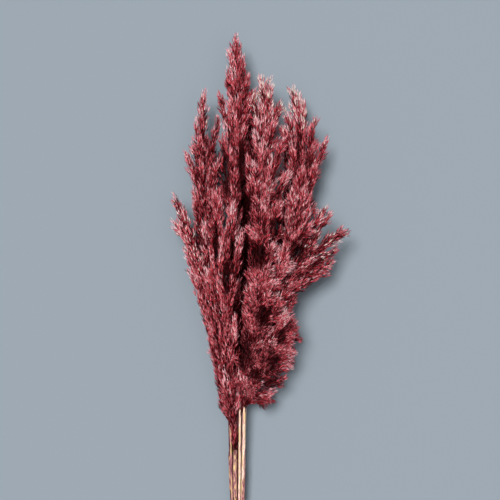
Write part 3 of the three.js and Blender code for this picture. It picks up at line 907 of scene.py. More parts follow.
STALKS = (
    Stalk.measured("01", NEAT, girth=13, collar=26, rachis=(
        (-11, 38, 56), (-14, 110, 76), (-19, 182, 85), (-25, 262, 82),
    ), sprays=(
        (0.30, 7, 214, 90, 9), (0.38, -3, 250, 82, 9), (0.22, -30, 186, 78, 9), (0.12, -1, 112, 78, 10),
        (0.10, -32, 134, 74, 11), (0.18, -38, 172, 72, 10), (0.05, -14, 86, 70, 11), (0.26, -14, 218, 88, 9),
        (0.00, -13, 20, 45, 7), (0.02, -20, 50, 58, 8), (0.00, -18, 10, 40, 7), (0.00, -18.5, 3, 38, 5),
        (0.00, -17, 16, 38, 6), (0.00, -12.5, 14, 40, 5), (0.00, 1, 12, 50, 6),
    )),
    Stalk.measured("02", FLUFFY, girth=16, collar=14, rachis=(
        (16, 76, 66), (25, 146, 82), (30, 206, 84), (33, 270, 80),
    ), sprays=(
        (0.30, 88, 226, 86, 10), (0.24, 62, 196, 87, 11), (0.45, 52, 250, 84, 9), (0.12, 38, 148, 86, 10),
        (0.40, 20, 298, 76, 9), (0.30, 42, 200, 89, 11), (0.22, 37, 176, 89, 11), (0.20, 58, 182, 87, 11),
        (0.14, 16, 152, 88, 10), (0.16, 64, 152, 84, 11), (0.10, 52, 132, 84, 11), (0.00, 2, 44, 64, 8),
        (0.00, 10, 36, 64, 8),
    )),
    Stalk.measured("03", LOBED, girth=17, collar=8, rachis=(
        (20, 40, 52), (42, 84, 60), (60, 130, 60), (68, 152, 58),
    ), sprays=(
        (0.14, 72, 94, 54, 14), (0.08, 62, 56, 48, 14), (0.02, 42, 20, 42, 12), (0.16, 32, 104, 74, 12),
        (0.06, 24, 62, 62, 11), (0.11, 66, 74, 58, 13), (0.05, 55, 38, 50, 13), (0.00, 30, 10, 42, 10),
        (0.10, 16, 80, 68, 11), (0.06, 32, 50, 66, 12), (0.12, 50, 78, 74, 12), (0.03, 20, 30, 56, 10),
        (0.16, 58, 120, 72, 11), (0.14, 70, 110, 62, 12), (0.02, 34, 14, 36, 10), (0.00, 12, 32, 56, 8),
    )),
    Stalk.measured("04", FLARED, girth=12, collar=0, rachis=(
        (28, 76, 44), (52, 140, 62), (84, 182, 66), (129, 218, 62),
    ), sprays=(
        (0.45, 121, 194, 56, 7), (0.36, 107, 168, 50, 9), (0.42, 107, 246, 66, 8), (0.50, 112, 238, 60, 6),
        (0.40, 97, 212, 70, 9), (0.30, 88, 184, 70, 10), (0.24, 76, 158, 66, 10), (0.36, 116, 180, 52, 8),
        (0.20, 70, 142, 40, 11), (0.32, 96, 176, 42, 9),
    )),
    Stalk.measured("05", FINE, girth=11, collar=9, rachis=(
        (-25, 74, 46), (-40, 142, 54), (-55, 194, 54), (-75, 227, 50),
    ), sprays=(
        (0.50, -77, 262, 47, 5), (0.40, -67, 250, 52, 8), (0.20, -46, 190, 72, 10), (0.30, -61, 198, 52, 9),
        (0.24, -54, 172, 58, 9), (0.14, -44, 140, 58, 10), (0.05, -26, 60, 40, 8), (0.02, -22, 30, 36, 7),
        (0.10, -34, 100, 48, 8), (0.16, -38, 130, 36, 9), (0.30, -54, 186, 36, 9),
    )),
    Stalk.measured("06", PALE, girth=17, collar=0, rachis=(
        (12, 80, 48), (22, 190, 66), (31, 300, 66), (34, 352, 62), (30, 402, 58),
    ), sprays=(
        (0.62, 52, 372, 60, 9), (0.66, 19, 378, 60, 8), (0.72, 41, 389, 58, 8), (0.42, 12, 306, 72, 10),
        (0.35, 32, 268, 80, 12), (0.38, 62, 288, 74, 12), (0.46, 56, 326, 68, 12), (0.55, 24, 352, 68, 9),
        (0.52, 43, 346, 70, 10), (0.30, 48, 250, 82, 11), (0.44, 50, 306, 62, 11), (0.26, 50, 222, 72, 11),
    )),
    Stalk.measured("07", NEAT, girth=14, collar=0, rachis=(
        (-5, 90, 42), (-3, 200, 60), (-1, 314, 60), (1, 386, 56), (-1, 453.5, 52),
    ), sprays=(
        (0.52, -22, 383, 56, 7), (0.62, 13, 404, 56, 7), (0.62, -12, 410, 54, 6), (0.42, -8, 314, 70, 10),
        (0.36, -16, 284, 70, 10), (0.48, 8, 340, 66, 9), (0.56, -9, 372, 62, 8), (0.30, -6, 250, 72, 10),
        (0.44, -17, 330, 60, 9), (0.38, -18, 300, 62, 10), (0.60, 21, 386, 55, 7), (0.70, -8, 432, 55, 7),
        (0.72, 7, 426, 54, 7),
    )),
    Stalk.measured("08", PALE, girth=17, collar=0, rachis=(
        (22, 76, 34), (54, 162, 44), (76, 246, 50), (76, 330, 50), (68, 392, 46),
    ), sprays=(
        (0.60, 92, 348, 52, 11), (0.70, 80, 370, 48, 9), (0.56, 109, 330, 46, 8), (0.58, 54, 340, 56, 11),
        (0.45, 76, 314, 60, 11), (0.42, 95, 296, 54, 10), (0.36, 66, 266, 62, 12), (0.36, 83, 272, 58, 11),
        (0.50, 64, 322, 58, 10), (0.54, 92, 322, 52, 10), (0.30, 86, 242, 56, 11), (0.50, 58, 362, 50, 10),
        (0.34, 60, 240, 58, 11), (0.45, 94, 250, 36, 11), (0.55, 94, 310, 34, 10),
    )),
    Stalk.measured("09", FINE, girth=12, collar=0, rachis=(
        (-21, 84, 36), (-34, 170, 48), (-37, 256, 50), (-42, 330, 50), (-41, 384, 48),
    ), sprays=(
        (0.52, -63, 314, 46, 6), (0.62, -22, 352, 54, 7), (0.48, -50, 352, 48, 6), (0.42, -23, 302, 58, 10),
        (0.42, -41, 296, 60, 10), (0.34, -50, 266, 56, 10), (0.34, -27, 262, 62, 10), (0.26, -40, 226, 60, 10),
        (0.40, -52, 262, 34, 10), (0.55, -54, 326, 36, 9),
    )),
    Stalk.measured("10", HIDDEN, girth=16, collar=0, rachis=(
        (-20, 78, 15), (-36, 170, 14), (-42, 250, 15), (-36, 330, 20),
    ), sprays=(
        (0.40, -62, 222, 18, 10), (0.40, -14, 276, 24, 11), (0.50, -16, 316, 24, 10), (0.55, -50, 300, 24, 10),
        (0.45, -20, 262, 30, 11), (0.40, -18, 240, 34, 11), (0.32, -54, 200, 38, 11), (0.20, -42, 140, 36, 11),
        (0.46, -50, 268, 40, 11), (0.60, -40, 326, 40, 10), (0.06, -28, 70, 34, 10), (0.00, -20, 32, 32, 8),
        (0.12, -36, 104, 34, 11),
    )),
    Stalk.measured("11", HIDDEN, girth=16, collar=0, rachis=(
        (3, 84, 13), (8, 190, 14), (12, 290, 18), (14, 384, 26),
    ), sprays=(
        (0.30, -12, 196, 20, 11), (0.50, 32, 316, 22, 11), (0.14, 26, 96, 24, 10), (0.45, -8, 296, 24, 10),
        (0.60, 30, 352, 28, 10), (0.40, 34, 262, 26, 11), (0.05, 10, 70, 36, 11), (0.60, 6, 350, 42, 10),
        (0.45, 30, 300, 42, 11), (0.20, 18, 160, 36, 12), (0.20, -4, 150, 36, 12), (0.32, 22, 214, 38, 12),
        (0.32, -4, 205, 38, 12),
    )),
    Stalk.measured("12", HIDDEN, girth=16, collar=0, rachis=(
        (26, 76, 15), (52, 158, 13), (70, 240, 15), (82, 312, 22),
    ), sprays=(
        (0.36, 94, 196, 20, 11), (0.16, 66, 96, 22, 11), (0.40, 70, 262, 30, 11), (0.30, 52, 262, 30, 11),
        (0.50, 64, 300, 34, 11), (0.55, 56, 334, 30, 10), (0.60, 96, 300, 26, 10), (0.45, 54, 294, 38, 12),
        (0.30, 46, 190, 30, 12), (0.34, 92, 190, 42, 11), (0.50, 88, 255, 44, 11), (0.55, 90, 306, 42, 10),
        (0.20, 66, 134, 42, 12), (0.04, 44, 62, 34, 10), (0.00, 28, 30, 32, 8), (0.12, 58, 98, 36, 11),
        (0.26, 80, 160, 36, 11), (0.38, 80, 222, 40, 11),
    )),
)

STEM_LENGTH = 0.250  # from the longest stem's cut end to the height that the tables above start from


def table_origin() -> np.ndarray:
    """Gives the place that the stalks' points are measured from, which is under the longest stem's cut end."""
    low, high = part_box("stem_11")
    return np.array([(low.x + high.x) / 2, low.y + STEM_LENGTH, 0.0])


def centre_line(node: str) -> np.ndarray:
    """Finds the middle of each ring of a CAD stem, from its cut end to its neck.

    Args:
        node: The stem's name.

    Returns:
        The rings' middles.
    """
    mesh = frame["nodes"][node].data
    co = np.empty(3 * len(mesh.vertices), np.float32)
    mesh.vertices.foreach_get("co", co)
    co = np.unique(np.round(co.reshape(-1, 3).astype(float), 6), axis=0)
    co = co[np.argsort(co[:, 1])]
    ring_gap = 0.005
    breaks = np.nonzero(np.diff(co[:, 1]) > ring_gap)[0] + 1
    return np.array([ring.mean(0) for ring in np.split(co, breaks)])


@dataclass(frozen=True)
class Hollow:
    """A gap deep into the bundle: its middle above the neck, and its half widths."""

    middle: Triple
    half: Triple

    def depth(self, places: np.ndarray, origin: np.ndarray) -> np.ndarray:
        """Gives how far each place is from the middle, 1 being at the gap's edge."""
        return np.linalg.norm((places - origin - np.array(self.middle)) / np.array(self.half), axis=1)

    def beside(self, places: np.ndarray, origin: np.ndarray) -> np.ndarray:
        """Gives the same from above, whatever the height."""
        return np.linalg.norm(((places - origin - np.array(self.middle)) / np.array(self.half))[:, :2], axis=1)


HOLLOWS = (
    Hollow((0.025, 0.188, 0.100), (0.010, 0.014, 0.050)),
    Hollow((0.010, 0.248, 0.095), (0.008, 0.014, 0.040)),
    Hollow((0.070, 0.194, 0.085), (0.007, 0.010, 0.040)),
    Hollow((0.031, 0.116, 0.095), (0.007, 0.014, 0.040)),
    Hollow((0.010, 0.068, 0.090), (0.007, 0.014, 0.040)),
    Hollow((0.022, 0.044, 0.085), (0.007, 0.008, 0.036)),
    Hollow((0.043, 0.062, 0.085), (0.006, 0.007, 0.030)),
    Hollow((0.006, 0.300, 0.090), (0.004, 0.030, 0.026)),
    Hollow((-0.014, 0.290, 0.090), (0.005, 0.022, 0.036)),
    Hollow((0.074, 0.320, 0.075), (0.003, 0.022, 0.020)),
    Hollow((-0.012, 0.160, 0.100), (0.004, 0.024, 0.024)),
    Hollow((0.046, 0.220, 0.095), (0.006, 0.012, 0.030)),
    Hollow((-0.024, 0.200, 0.095), (0.0026, 0.024, 0.028)),
    Hollow((-0.006, 0.190, 0.100), (0.0024, 0.022, 0.026)),
    Hollow((0.011, 0.190, 0.100), (0.0030, 0.024, 0.040)),
    Hollow((0.001, 0.112, 0.100), (0.0014, 0.012, 0.028)),
    Hollow((0.052, 0.090, 0.090), (0.0050, 0.008, 0.030)),
)


@dataclass
class Twig:
    """A thin woody axis: its points and the radius at each."""

    points: np.ndarray
    radii: np.ndarray


class Plume:
    """One plume: a rachis, its sprays, their fingers and the spikelets on them."""

    LOWEST = 0.0008  # nothing reaches lower, so the plume lies on the surface
    CLEAR, FINGER_CLEAR, CHAFF_CLEAR = 0.0006, 0.002, 0.0030  # how much higher each kind of part stays
    LOW, CHAFF_LOW = 0.012, 0.010  # below these heights spikelets and the dark shade filler have to point up
    POINT_UP, CHAFF_POINT_UP = 0.12, 0.1  # how much they then do, as the height of a unit direction
    LONGEST_HAIR = 1.4  # as a share of the spikelet's length
    # spikelets:
    LENGTHS = (0.7, 1.25)  # the shortest and longest, as shares of the habit's length
    LEANS = (0.6, 1.4)  # the same for their lean
    WAY_STRAYS, TURN_STRAYS = 0.06, 0.5  # how far their directions and their turns round the finger stray
    TO_BASE = 0.8  # below one, they crowd at the finger's base
    THIN_COUNT, THICK_COUNT = 0.55, 1.3  # how few or many a thin or thick finger has, as shares of the usual
    # fingers:
    SHORTEST_FINGER = 0.014
    FINGER_LENGTHS = (0.75, 1.2)  # as shares of the usual length
    FINGER_CORES = (0.85, 1.15)  # as shares of the habit's core
    FINGER_BENDS = (0.65, 1.05)  # as shares of the habit's steepest bend
    FINGER_TURN_STRAYS = 0.25
    STRAIGHT = 0.45  # the share of a finger that follows its axis before it bends out
    SPRAY_FINGER = (0.034, 0.024)  # a finger's length at a spray's base and at its tip
    SPRAY_APART = 1.45  # the distance between a spray's fingers, as a share of the habit's
    COLLAR_FINGER = (0.018, 0.026)  # the shortest and longest finger on the stem
    COLLAR_APART, COLLAR_CORE = 0.0022, 0.0010
    CHAFF, CHAFF_APART = 0.012, 0.0022  # the length of the filler spikelets deep inside, painted dark as shade, and their distance
    NECK_SHARE = 0.15  # the plume's radius at its neck, as a share of its girth
    # where things lie on the map, on the scale from deep burgundy, 0, to undyed cream, 1:
    TWIG_TONE, TWIG_UP = 0.06, 0.50
    # painted shade: the dark tones of the filler deep inside
    SHADE_FILLER_TONES = (0.04, 0.22)
    PALEST_DYED, UNDYED = 0.80, (0.85, 1.0)
    # painted shade towards a finger's base and painted light towards its tip
    FINGER_SHADE_AND_LIGHT = 0.50
    # painted shade on spikelets and fingers deep inside
    INSIDE_PAINTED_SHADE = 0.26
    # painted light on the upper side of each finger and painted shade below it
    UPPER_SIDE_PAINTED_LIGHT = 0.07
    # painted shade round the gaps deep in the bundle: how much darker, and out to how many half widths
    HOLLOW_DARKER, HOLLOW_EDGE = 0.50, 1.5
    RACHIS_BASE_DARKER = 0.05
    SPRAY_BASE_DARKER, SPRAY_TIP_PALER, SPRAY_MIXED = 0.22, 0.04, 0.07
    COLLAR_DARKER = 0.20
    # how far below the top undyed spikelets grow, and how softly they end:
    CREAM_REACH, CREAM_FADE = 0.060, 0.04

    def __init__(self, stalk: Stalk, scatter: Scatter) -> None:
        """Keeps the stalk's facts and places its rachis.

        Args:
            stalk: The stalk's shape and habit.
            scatter: What sets the spikelets.
        """
        self.stalk = stalk
        self.scatter = scatter
        self.rng = np.random.default_rng(SEED + int(stalk.name))
        self.cloud = Cloud()
        self.twigs: list[Twig] = []
        stem = centre_line(f"stem_{stalk.name}")
        self.neck = stem[-1]
        self.stem = Line(stem)
        self.origin = table_origin()
        self.rachis = Line([self.neck, *(np.array(point) + self.origin for point in stalk.rachis)])
        self.top = self.rachis.at(1)[0, 1]

    @staticmethod
    def _plume_shape(share: float) -> float:
        """Gives the plume's radius as a share of its girth, from neck to tip."""
        full = math.sin(math.pi * min(1.0, 0.06 + 0.9 * share**0.8)) ** 0.5
        blend = min(1.0, share / 0.25)
        blend = blend * blend * (3 - 2 * blend)
        return Plume.NECK_SHARE * (1 - blend) + full * blend

    def _spray_shape(self, share: float) -> float:
        """Gives a spray's radius as a share of its girth."""
        return max(self.stalk.habit.blunt, math.sin(math.pi * (0.18 + 0.78 * share)) ** 0.7)

    @staticmethod
    def _finger_shape(up: np.ndarray) -> np.ndarray:
        """Gives a finger's radius as a share of its core, at shares of its length."""
        return np.sin(np.pi * (0.12 + 0.80 * up**1.1)) ** 0.7

    def _finger(self, points: np.ndarray, core: float, tone: float, creamy: float) -> None:
        """Grows one finger.

        Args:
            points: Its line.
            core: How far from its middle the spikelets start.
            tone: How pale it is.
            creamy: The share of undyed spikelets at its end.
        """
        habit, rng = self.stalk.habit, self.rng
        points = points.copy()
        points[1:, 2] = np.maximum(points[1:, 2], self.LOWEST + core + self.FINGER_CLEAR)
        line = Line(points)
        fullness = min(self.THICK_COUNT, max(self.THIN_COUNT, core / habit.core))
        count = max(8, int(habit.dense * line.length * fullness))
        even = (np.arange(count) + rng.uniform(0, 1, count)) / count
        up = 1 - (1 - even) ** self.TO_BASE
        t = habit.bare + (1 - habit.bare) * up
        angles = np.arange(count) * GOLDEN_ANGLE + rng.normal(0, self.TURN_STRAYS, count)
        along = line.along(t)
        out = outward(along, angles)
        share_out = rng.uniform(0.02, 1.0, count) ** 0.6
        away = core * self._finger_shape(up) * share_out
        lean = habit.lean * (0.55 + 0.6 * share_out) * (1.15 - 0.65 * up) * rng.uniform(*self.LEANS, count)
        stray = rng.normal(0, self.WAY_STRAYS, (count, 3))
        ways = unit(along * np.cos(lean)[:, None] + out * np.sin(lean)[:, None] + stray)
        lengths = habit.spikelet * rng.uniform(*self.LENGTHS, count) * (1.05 - 0.25 * t)
        places = line.at(t) + out * away[:, None]
        floor = self.LOWEST + self.CLEAR
        places[:, 2] = np.maximum(places[:, 2], floor)
        lowest_way = (floor - places[:, 2]) / (self.LONGEST_HAIR * lengths) + self.POINT_UP
        ways[:, 2] = np.where(places[:, 2] < self.LOW, np.maximum(ways[:, 2], lowest_way), ways[:, 2])
        # painted shade towards the finger's base, painted light towards its tip
        tones = tone + rng.normal(0, habit.mixed, count) + self.FINGER_SHADE_AND_LIGHT * (up - 0.60)
        # painted light on the finger's upper side, painted shade on its underside
        # painted shade on spikelets close to the finger's middle
        tones = tones - self.INSIDE_PAINTED_SHADE * (1 - share_out) + self.UPPER_SIDE_PAINTED_LIGHT * out[:, 2]
        near_top = np.clip((places[:, 1] - self.top + self.CREAM_REACH) / self.CREAM_FADE, 0, 1)
        undyed = rng.uniform(0, 1, count) < creamy * np.clip((up - 0.3) * 2, 0, 1) * near_top
        tones = np.where(undyed, rng.uniform(*self.UNDYED, count), np.clip(tones, 0, self.PALEST_DYED))
        middles = places + ways * lengths[:, None] / 2
        edge = np.min([hollow.depth(middles, self.origin) for hollow in HOLLOWS], axis=0)
        beside = np.min([hollow.beside(middles, self.origin) for hollow in HOLLOWS], axis=0)
        # painted shade on the spikelets round the gaps deep in the bundle
        tones = np.maximum(0, tones - self.HOLLOW_DARKER * np.clip(self.HOLLOW_EDGE - beside, 0, 1))
        kept = edge > 1
        self.cloud.add(places[kept], unit(ways)[kept], lengths[kept], tones[kept], habit.slim)
        self._add_twig(line, 0.96, 5, 0.00045, 0.00018)

    def _add_twig(self, line: Line, last: float, count: int, thick: float, thin: float) -> None:
        """Adds a woody axis.

        Args:
            line: Its line.
            last: The share of the line where it ends.
            count: How many points it has.
            thick: Its radius at its start.
            thin: Its radius at its end.
        """
        self.twigs.append(Twig(line.at(np.linspace(0, last, count)), np.linspace(thick, thin, count)))

    def _grow(
        self, axis: Line, girth: float, shape: Callable[[float], float], first: float, last: float,
        apart: float, lengths: tuple[float, float], tones: tuple[float, float], creamy: float,
    ) -> None:
        """Grows the fingers round a rachis or a spray.

        Args:
            axis: The line that they grow from.
            girth: The radius that they fill.
            shape: The share of the girth that they fill at a share of the axis.
            first: The share of the axis where they start.
            last: The share where they end.
            apart: The distance between them.
            lengths: Their length at the axis's base and tip.
            tones: How pale they are at its base and tip.
            creamy: The share of undyed spikelets at the axis's end.
        """
        habit, rng = self.stalk.habit, self.rng
        count = max(3, round((last - first) * axis.length / apart))
        turn = rng.uniform(0, 2 * math.pi)
        crowded = 1 / (0.85 + shape(1.0))  # a blunt end takes more fingers
        for k in range(count):
            share = first + (last - first) * ((k + rng.uniform(0, 1)) / count) ** crowded
            length = (lengths[0] + (lengths[1] - lengths[0]) * share) * rng.uniform(*self.FINGER_LENGTHS)
            end = min(1.0, share + 0.9 * length / axis.length)
            angle = np.array([turn + k * GOLDEN_ANGLE + rng.normal(0, self.FINGER_TURN_STRAYS)])
            fullness = rng.uniform(0.25, 1.0) ** 0.7
            length = max(self.SHORTEST_FINGER, min(length, (1 - share) * axis.length + 0.004))
            reach = max(0.0, 1.4 * girth * shape(end) - 0.6 * habit.core) * fullness
            bend = habit.steepest * rng.uniform(*self.FINGER_BENDS)
            length = max(self.SHORTEST_FINGER, min(length, reach / (0.5 * math.sin(bend)) + 0.010))
            start, along = axis.at(share)[0], axis.along(share)
            out = outward(along, angle)[0]
            ahead = axis.along(end)[0]
            pull = start + along[0] * self.STRAIGHT * length + out * 0.1 * reach
            end_way = ahead * math.cos(bend) + outward(axis.along(end), angle)[0] * math.sin(bend)
            tip = pull + (1 - self.STRAIGHT) * length * unit(end_way + rng.normal(0, habit.curl, 3))
            tone = tones[0] + (tones[1] - tones[0]) * share + rng.normal(0, habit.strand)
            # painted shade on fingers that reach less far out, deep in the plume
            tone -= self.INSIDE_PAINTED_SHADE * (1 - fullness)
            self._finger(bent(start, pull, tip), habit.core * rng.uniform(*self.FINGER_CORES), tone, creamy)
        tip_share = max(0.0, 1 - lengths[1] / axis.length)
        self._finger(axis.at(np.linspace(tip_share, 1.0, 5)), habit.core * 0.8, tones[1], creamy)

    def _fill(self, axis: Line, girth: float, shape: Callable[[float], float]) -> None:
        """Packs the middle of a rachis or spray with filler spikelets painted dark as shade, so that it can't
        be seen through.

        Args:
            axis: The line.
            girth: The radius that its fingers fill.
            shape: The share of the girth that they fill at a share of the axis.
        """
        rng, length = self.rng, self.CHAFF
        count = int(axis.length / self.CHAFF_APART)
        shares = rng.uniform(0.03, max(0.05, 1 - 0.016 / axis.length), count)
        full = np.array([shape(min(1.0, share + 0.5 * length / axis.length)) for share in shares])
        away = 0.42 * girth * full * rng.uniform(0, 1, count) ** 0.5
        along = axis.along(shares)
        out = outward(along, rng.uniform(0, 2 * math.pi, count))
        places = axis.at(shares) + out * away[:, None]
        ways = unit(along + rng.normal(0, 0.14, (count, 3)))
        lengths = length * rng.uniform(0.8, 1.3, count)
        places[:, 2] = np.maximum(places[:, 2], self.LOWEST + self.CHAFF_CLEAR)
        low = places[:, 2] < self.CHAFF_LOW
        ways[:, 2] = np.where(low, np.maximum(ways[:, 2], self.CHAFF_POINT_UP), ways[:, 2])
        beside = np.min([hollow.beside(places, self.origin) for hollow in HOLLOWS], axis=0)
        # painted shade: the filler is dark, and darkest near the gaps deep in the bundle
        tones = rng.uniform(*self.SHADE_FILLER_TONES, count) * np.clip(beside - 0.5, 0, 1)
        self.cloud.add(places, unit(ways), lengths, tones, 0.95)

    def _spray_line(self, spray: Spray) -> Line:
        """Gives the line of a spray."""
        start = self.rachis.at(spray.start)[0]
        tip = np.array(spray.tip) + self.origin
        pull = start + self.rachis.along(spray.start)[0] * np.linalg.norm(tip - start) / 2
        return Line(bent(start, pull, tip))

    def _grow_collar(self) -> None:
        """Grows thin upright fingers that cling to the top of the stem."""
        rng, habit, stem = self.rng, self.stalk.habit, self.stem
        for k in range(round(self.stalk.collar / self.COLLAR_APART)):
            below = self.stalk.collar * (1 - rng.uniform(0, 1) ** 1.6)
            share = 1 - below / stem.length
            length = rng.uniform(*self.COLLAR_FINGER)
            along = stem.along(share)[0]
            out = outward(stem.along(share), np.array([k * GOLDEN_ANGLE]))[0]
            start = stem.at(share)[0] + out * STEMS[self.stalk.name][1]
            pull = start + along * 0.5 * length + out * 0.0004
            tip = start + along * length + out * rng.uniform(0.0004, 0.0022)
            tone = habit.tone - self.COLLAR_DARKER + rng.normal(0, habit.strand)
            self._finger(bent(start, pull, tip), self.COLLAR_CORE, tone, 0.0)

    def _twig_mesh(self) -> bpy.types.Mesh:
        """Makes all the thin axes as one mesh of small tubes."""
        curve = bpy.data.curves.new("twigs", "CURVE")
        curve.dimensions = "3D"
        curve.bevel_depth = 1.0
        curve.bevel_resolution = 0
        curve.use_fill_caps = True
        for twig in self.twigs:
            spline = curve.splines.new("POLY")
            spline.points.add(len(twig.points) - 1)
            for point, place, radius in zip(spline.points, twig.points, twig.radii):
                point.co = (*place, 1.0)
                point.radius = radius
        thing = bpy.data.objects.new("twigs", curve)
        bpy.context.scene.collection.objects.link(thing)
        mesh = evaluated_mesh(thing, "twigs")
        bpy.data.objects.remove(thing)
        bpy.data.curves.remove(curve)
        for layer in list(mesh.uv_layers):
            mesh.uv_layers.remove(layer)
        corners = np.empty(len(mesh.loops), np.int32)
        mesh.loops.foreach_get("vertex_index", corners)
        across = self.TWIG_TONE + 0.0015 * (corners % 4)
        up = self.TWIG_UP + 0.01 * (corners // 4 % 2)
        places = np.stack([across, up], 1).astype(np.float32)
        mesh.uv_layers.new(name=MAP_NAME).uv.foreach_set("vector", places.ravel())
        return mesh

    def build(self) -> bpy.types.Object:
        """Makes the plume.

        Returns:
            The piece, not yet dressed.
        """
        stalk, habit = self.stalk, self.stalk.habit
        tip_tone = habit.tone + habit.rise
        self._grow(self.rachis, stalk.girth, self._plume_shape, 0.02, 0.94, habit.apart, habit.finger,
                   (habit.tone - self.RACHIS_BASE_DARKER, tip_tone), habit.cream)
        self._fill(self.rachis, stalk.girth, self._plume_shape)
        self._add_twig(self.rachis, 0.97, 14, 0.0019, 0.0005)
        for spray in stalk.sprays:
            line = self._spray_line(spray)
            paler = self.rng.normal(0, self.SPRAY_MIXED)
            below_top = max(0.0, self.top - line.at(1)[0, 1]) / (self.top - self.neck[1])
            base_tone = habit.tone - self.SPRAY_BASE_DARKER + habit.rise * spray.start + paler
            end_tone = tip_tone + self.SPRAY_TIP_PALER + paler - max(0.0, habit.rise) * below_top
            self._grow(line, spray.girth, self._spray_shape, 0.20, 0.90, self.SPRAY_APART * habit.apart,
                       self.SPRAY_FINGER, (base_tone, end_tone), habit.cream)
            self._fill(line, spray.girth, self._spray_shape)
            self._add_twig(line, 0.95, 7, 0.0009, 0.0003)
        self._grow_collar()
        shape = bmesh.new()
        shape.from_mesh(self.scatter.fill(self.cloud, self.rng, habit.hairy, self.LOWEST))
        shape.from_mesh(self._twig_mesh())
        bmesh.ops.recalc_face_normals(shape, faces=shape.faces[:])
        return add_object(f"plume_of_stalk_{stalk.name}", to_mesh(shape, f"plume_{stalk.name}"))


# ---------------------------------------------------------------- stems, sheaths and band


STEMS = {
    "01": (StemDye.MAUVE, 0.0018), "02": (StemDye.CREAM, 0.0016), "03": (StemDye.CREAM, 0.0021),
    "04": (StemDye.CREAM, 0.0018), "05": (StemDye.MAUVE, 0.0014), "06": (StemDye.DYED, 0.0019),
    "07": (StemDye.DYED, 0.0019), "08": (StemDye.DYED, 0.0019), "09": (StemDye.DYED, 0.0017),
    "10": (StemDye.DYED, 0.0020), "11": (StemDye.CREAM, 0.0020), "12": (StemDye.MAUVE, 0.0019),
}  # each stem's dye and radius
SHEATHS = {"01": "01", "02": "03", "03": "09"}  # each sheath's stem


@dataclass
class Stem:
    """A dried stem with a pithy cut end and a swollen joint.

    Attributes:
        name: The stalk's name.
        sides: How many sides it has.
        radius: Its radius at the cut end.
        taper: Its radius at the neck, as a share of that.
    """

    name: str
    sides: int = 20
    radius: float = 0.0020
    taper: float = 0.90

    def build(self) -> bpy.types.Object:
        """Makes the stem.

        Returns:
            The piece, not yet dressed.
        """
        rng = np.random.default_rng(SEED + 100 + int(self.name))
        line = Line(centre_line(f"stem_{self.name}"))
        joint = rng.uniform(0.15, 0.85)
        beside_joint = joint + np.array([-0.012, -0.005, 0, 0.005, 0.012])
        stations = []
        for share in np.unique(np.concatenate([np.linspace(0, 1, 26), beside_joint])):
            swell = 0.12 * math.exp(-(((share - joint) / 0.006) ** 2))
            wobble = 1 + 0.02 * rng.normal()
            stations.append((share, self.radius * (1 + (self.taper - 1) * share) * min(1.08, wobble + swell)))
        shape = Sweep(line, self.sides).build(stations)
        cut = min(shape.faces, key=lambda face: face.calc_center_median().y)
        inset = 0.0004
        bmesh.ops.inset_individual(shape, faces=[cut], thickness=inset)
        bmesh.ops.translate(shape, vec=(0, inset * 1.5, 0), verts=cut.verts[:])
        return add_object(f"cut_stem_{self.name}", to_mesh(shape, f"stem_{self.name}"))


@dataclass
class Sheath:
    """A torn dried leaf sheath round a stem, open on the side that faces into the bundle.

    Attributes:
        name: The sheath's name.
        stem: The stem that it wraps.
        gap: Its distance from the stem.
        wall: Its thickness.
        wrap: How much of the stem it covers, in radians.
        curl: How far its torn edge curls away from the stem.
        columns: Facets round the stem.
        rows: Facets along the stem.
    """

    name: str
    stem: str
    gap: float = 0.00030
    wall: float = 0.00030
    wrap: float = math.radians(200)
    curl: float = 0.0004
    columns: int = 16
    rows: int = 36

    def build(self) -> bpy.types.Object:
        """Makes the sheath.

        Returns:
            The piece, not yet dressed.
        """
        rng = np.random.default_rng(SEED + 200 + int(self.name))
        low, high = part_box(f"leaf_sheath_{self.name}")
        points = centre_line(f"stem_{self.stem}")
        line = Line(points)
        first, last = np.interp((low.y, high.y), points[:, 1], np.linspace(0, 1, len(points)))
        middle = line.at((first + last) / 2)[0]
        facing = Vector(((low.x + high.x) / 2 - middle[0], 0, (low.z + high.z) / 2 - middle[2]))
        turn = math.atan2(facing.z, facing.x)
        shape = bmesh.new()
        bmesh.ops.create_grid(shape, x_segments=self.columns, y_segments=self.rows, size=0.5)
        tears = np.interp(np.linspace(0, 1, 60), np.linspace(0, 1, 12), rng.uniform(0.55, 1.0, 12))
        for vert in shape.verts:
            across, up = vert.co.x + 0.5, vert.co.y + 0.5
            top = float(tears[int(across * 59)]) * (1.0 - 0.25 * abs(2.0 * across - 1.0))
            share = first + (last - first) * up * top
            angle = turn + (across - 0.5) * self.wrap
            curl = self.curl * max(0.0, up - 0.8) * 5 * rng.uniform(0.2, 1.0)
            away = STEMS[self.stem][1] + self.gap + curl
            place = line.at(share)[0] + away * np.array([math.cos(angle), 0.0, math.sin(angle)])
            vert.co = Vector(place)
        bmesh.ops.recalc_face_normals(shape, faces=shape.faces[:])
        bmesh.ops.solidify(shape, geom=shape.faces[:], thickness=self.wall)
        bmesh.ops.recalc_face_normals(shape, faces=shape.faces[:])
        return add_object(f"torn_leaf_sheath_{self.name}", to_mesh(shape, f"sheath_{self.name}"))


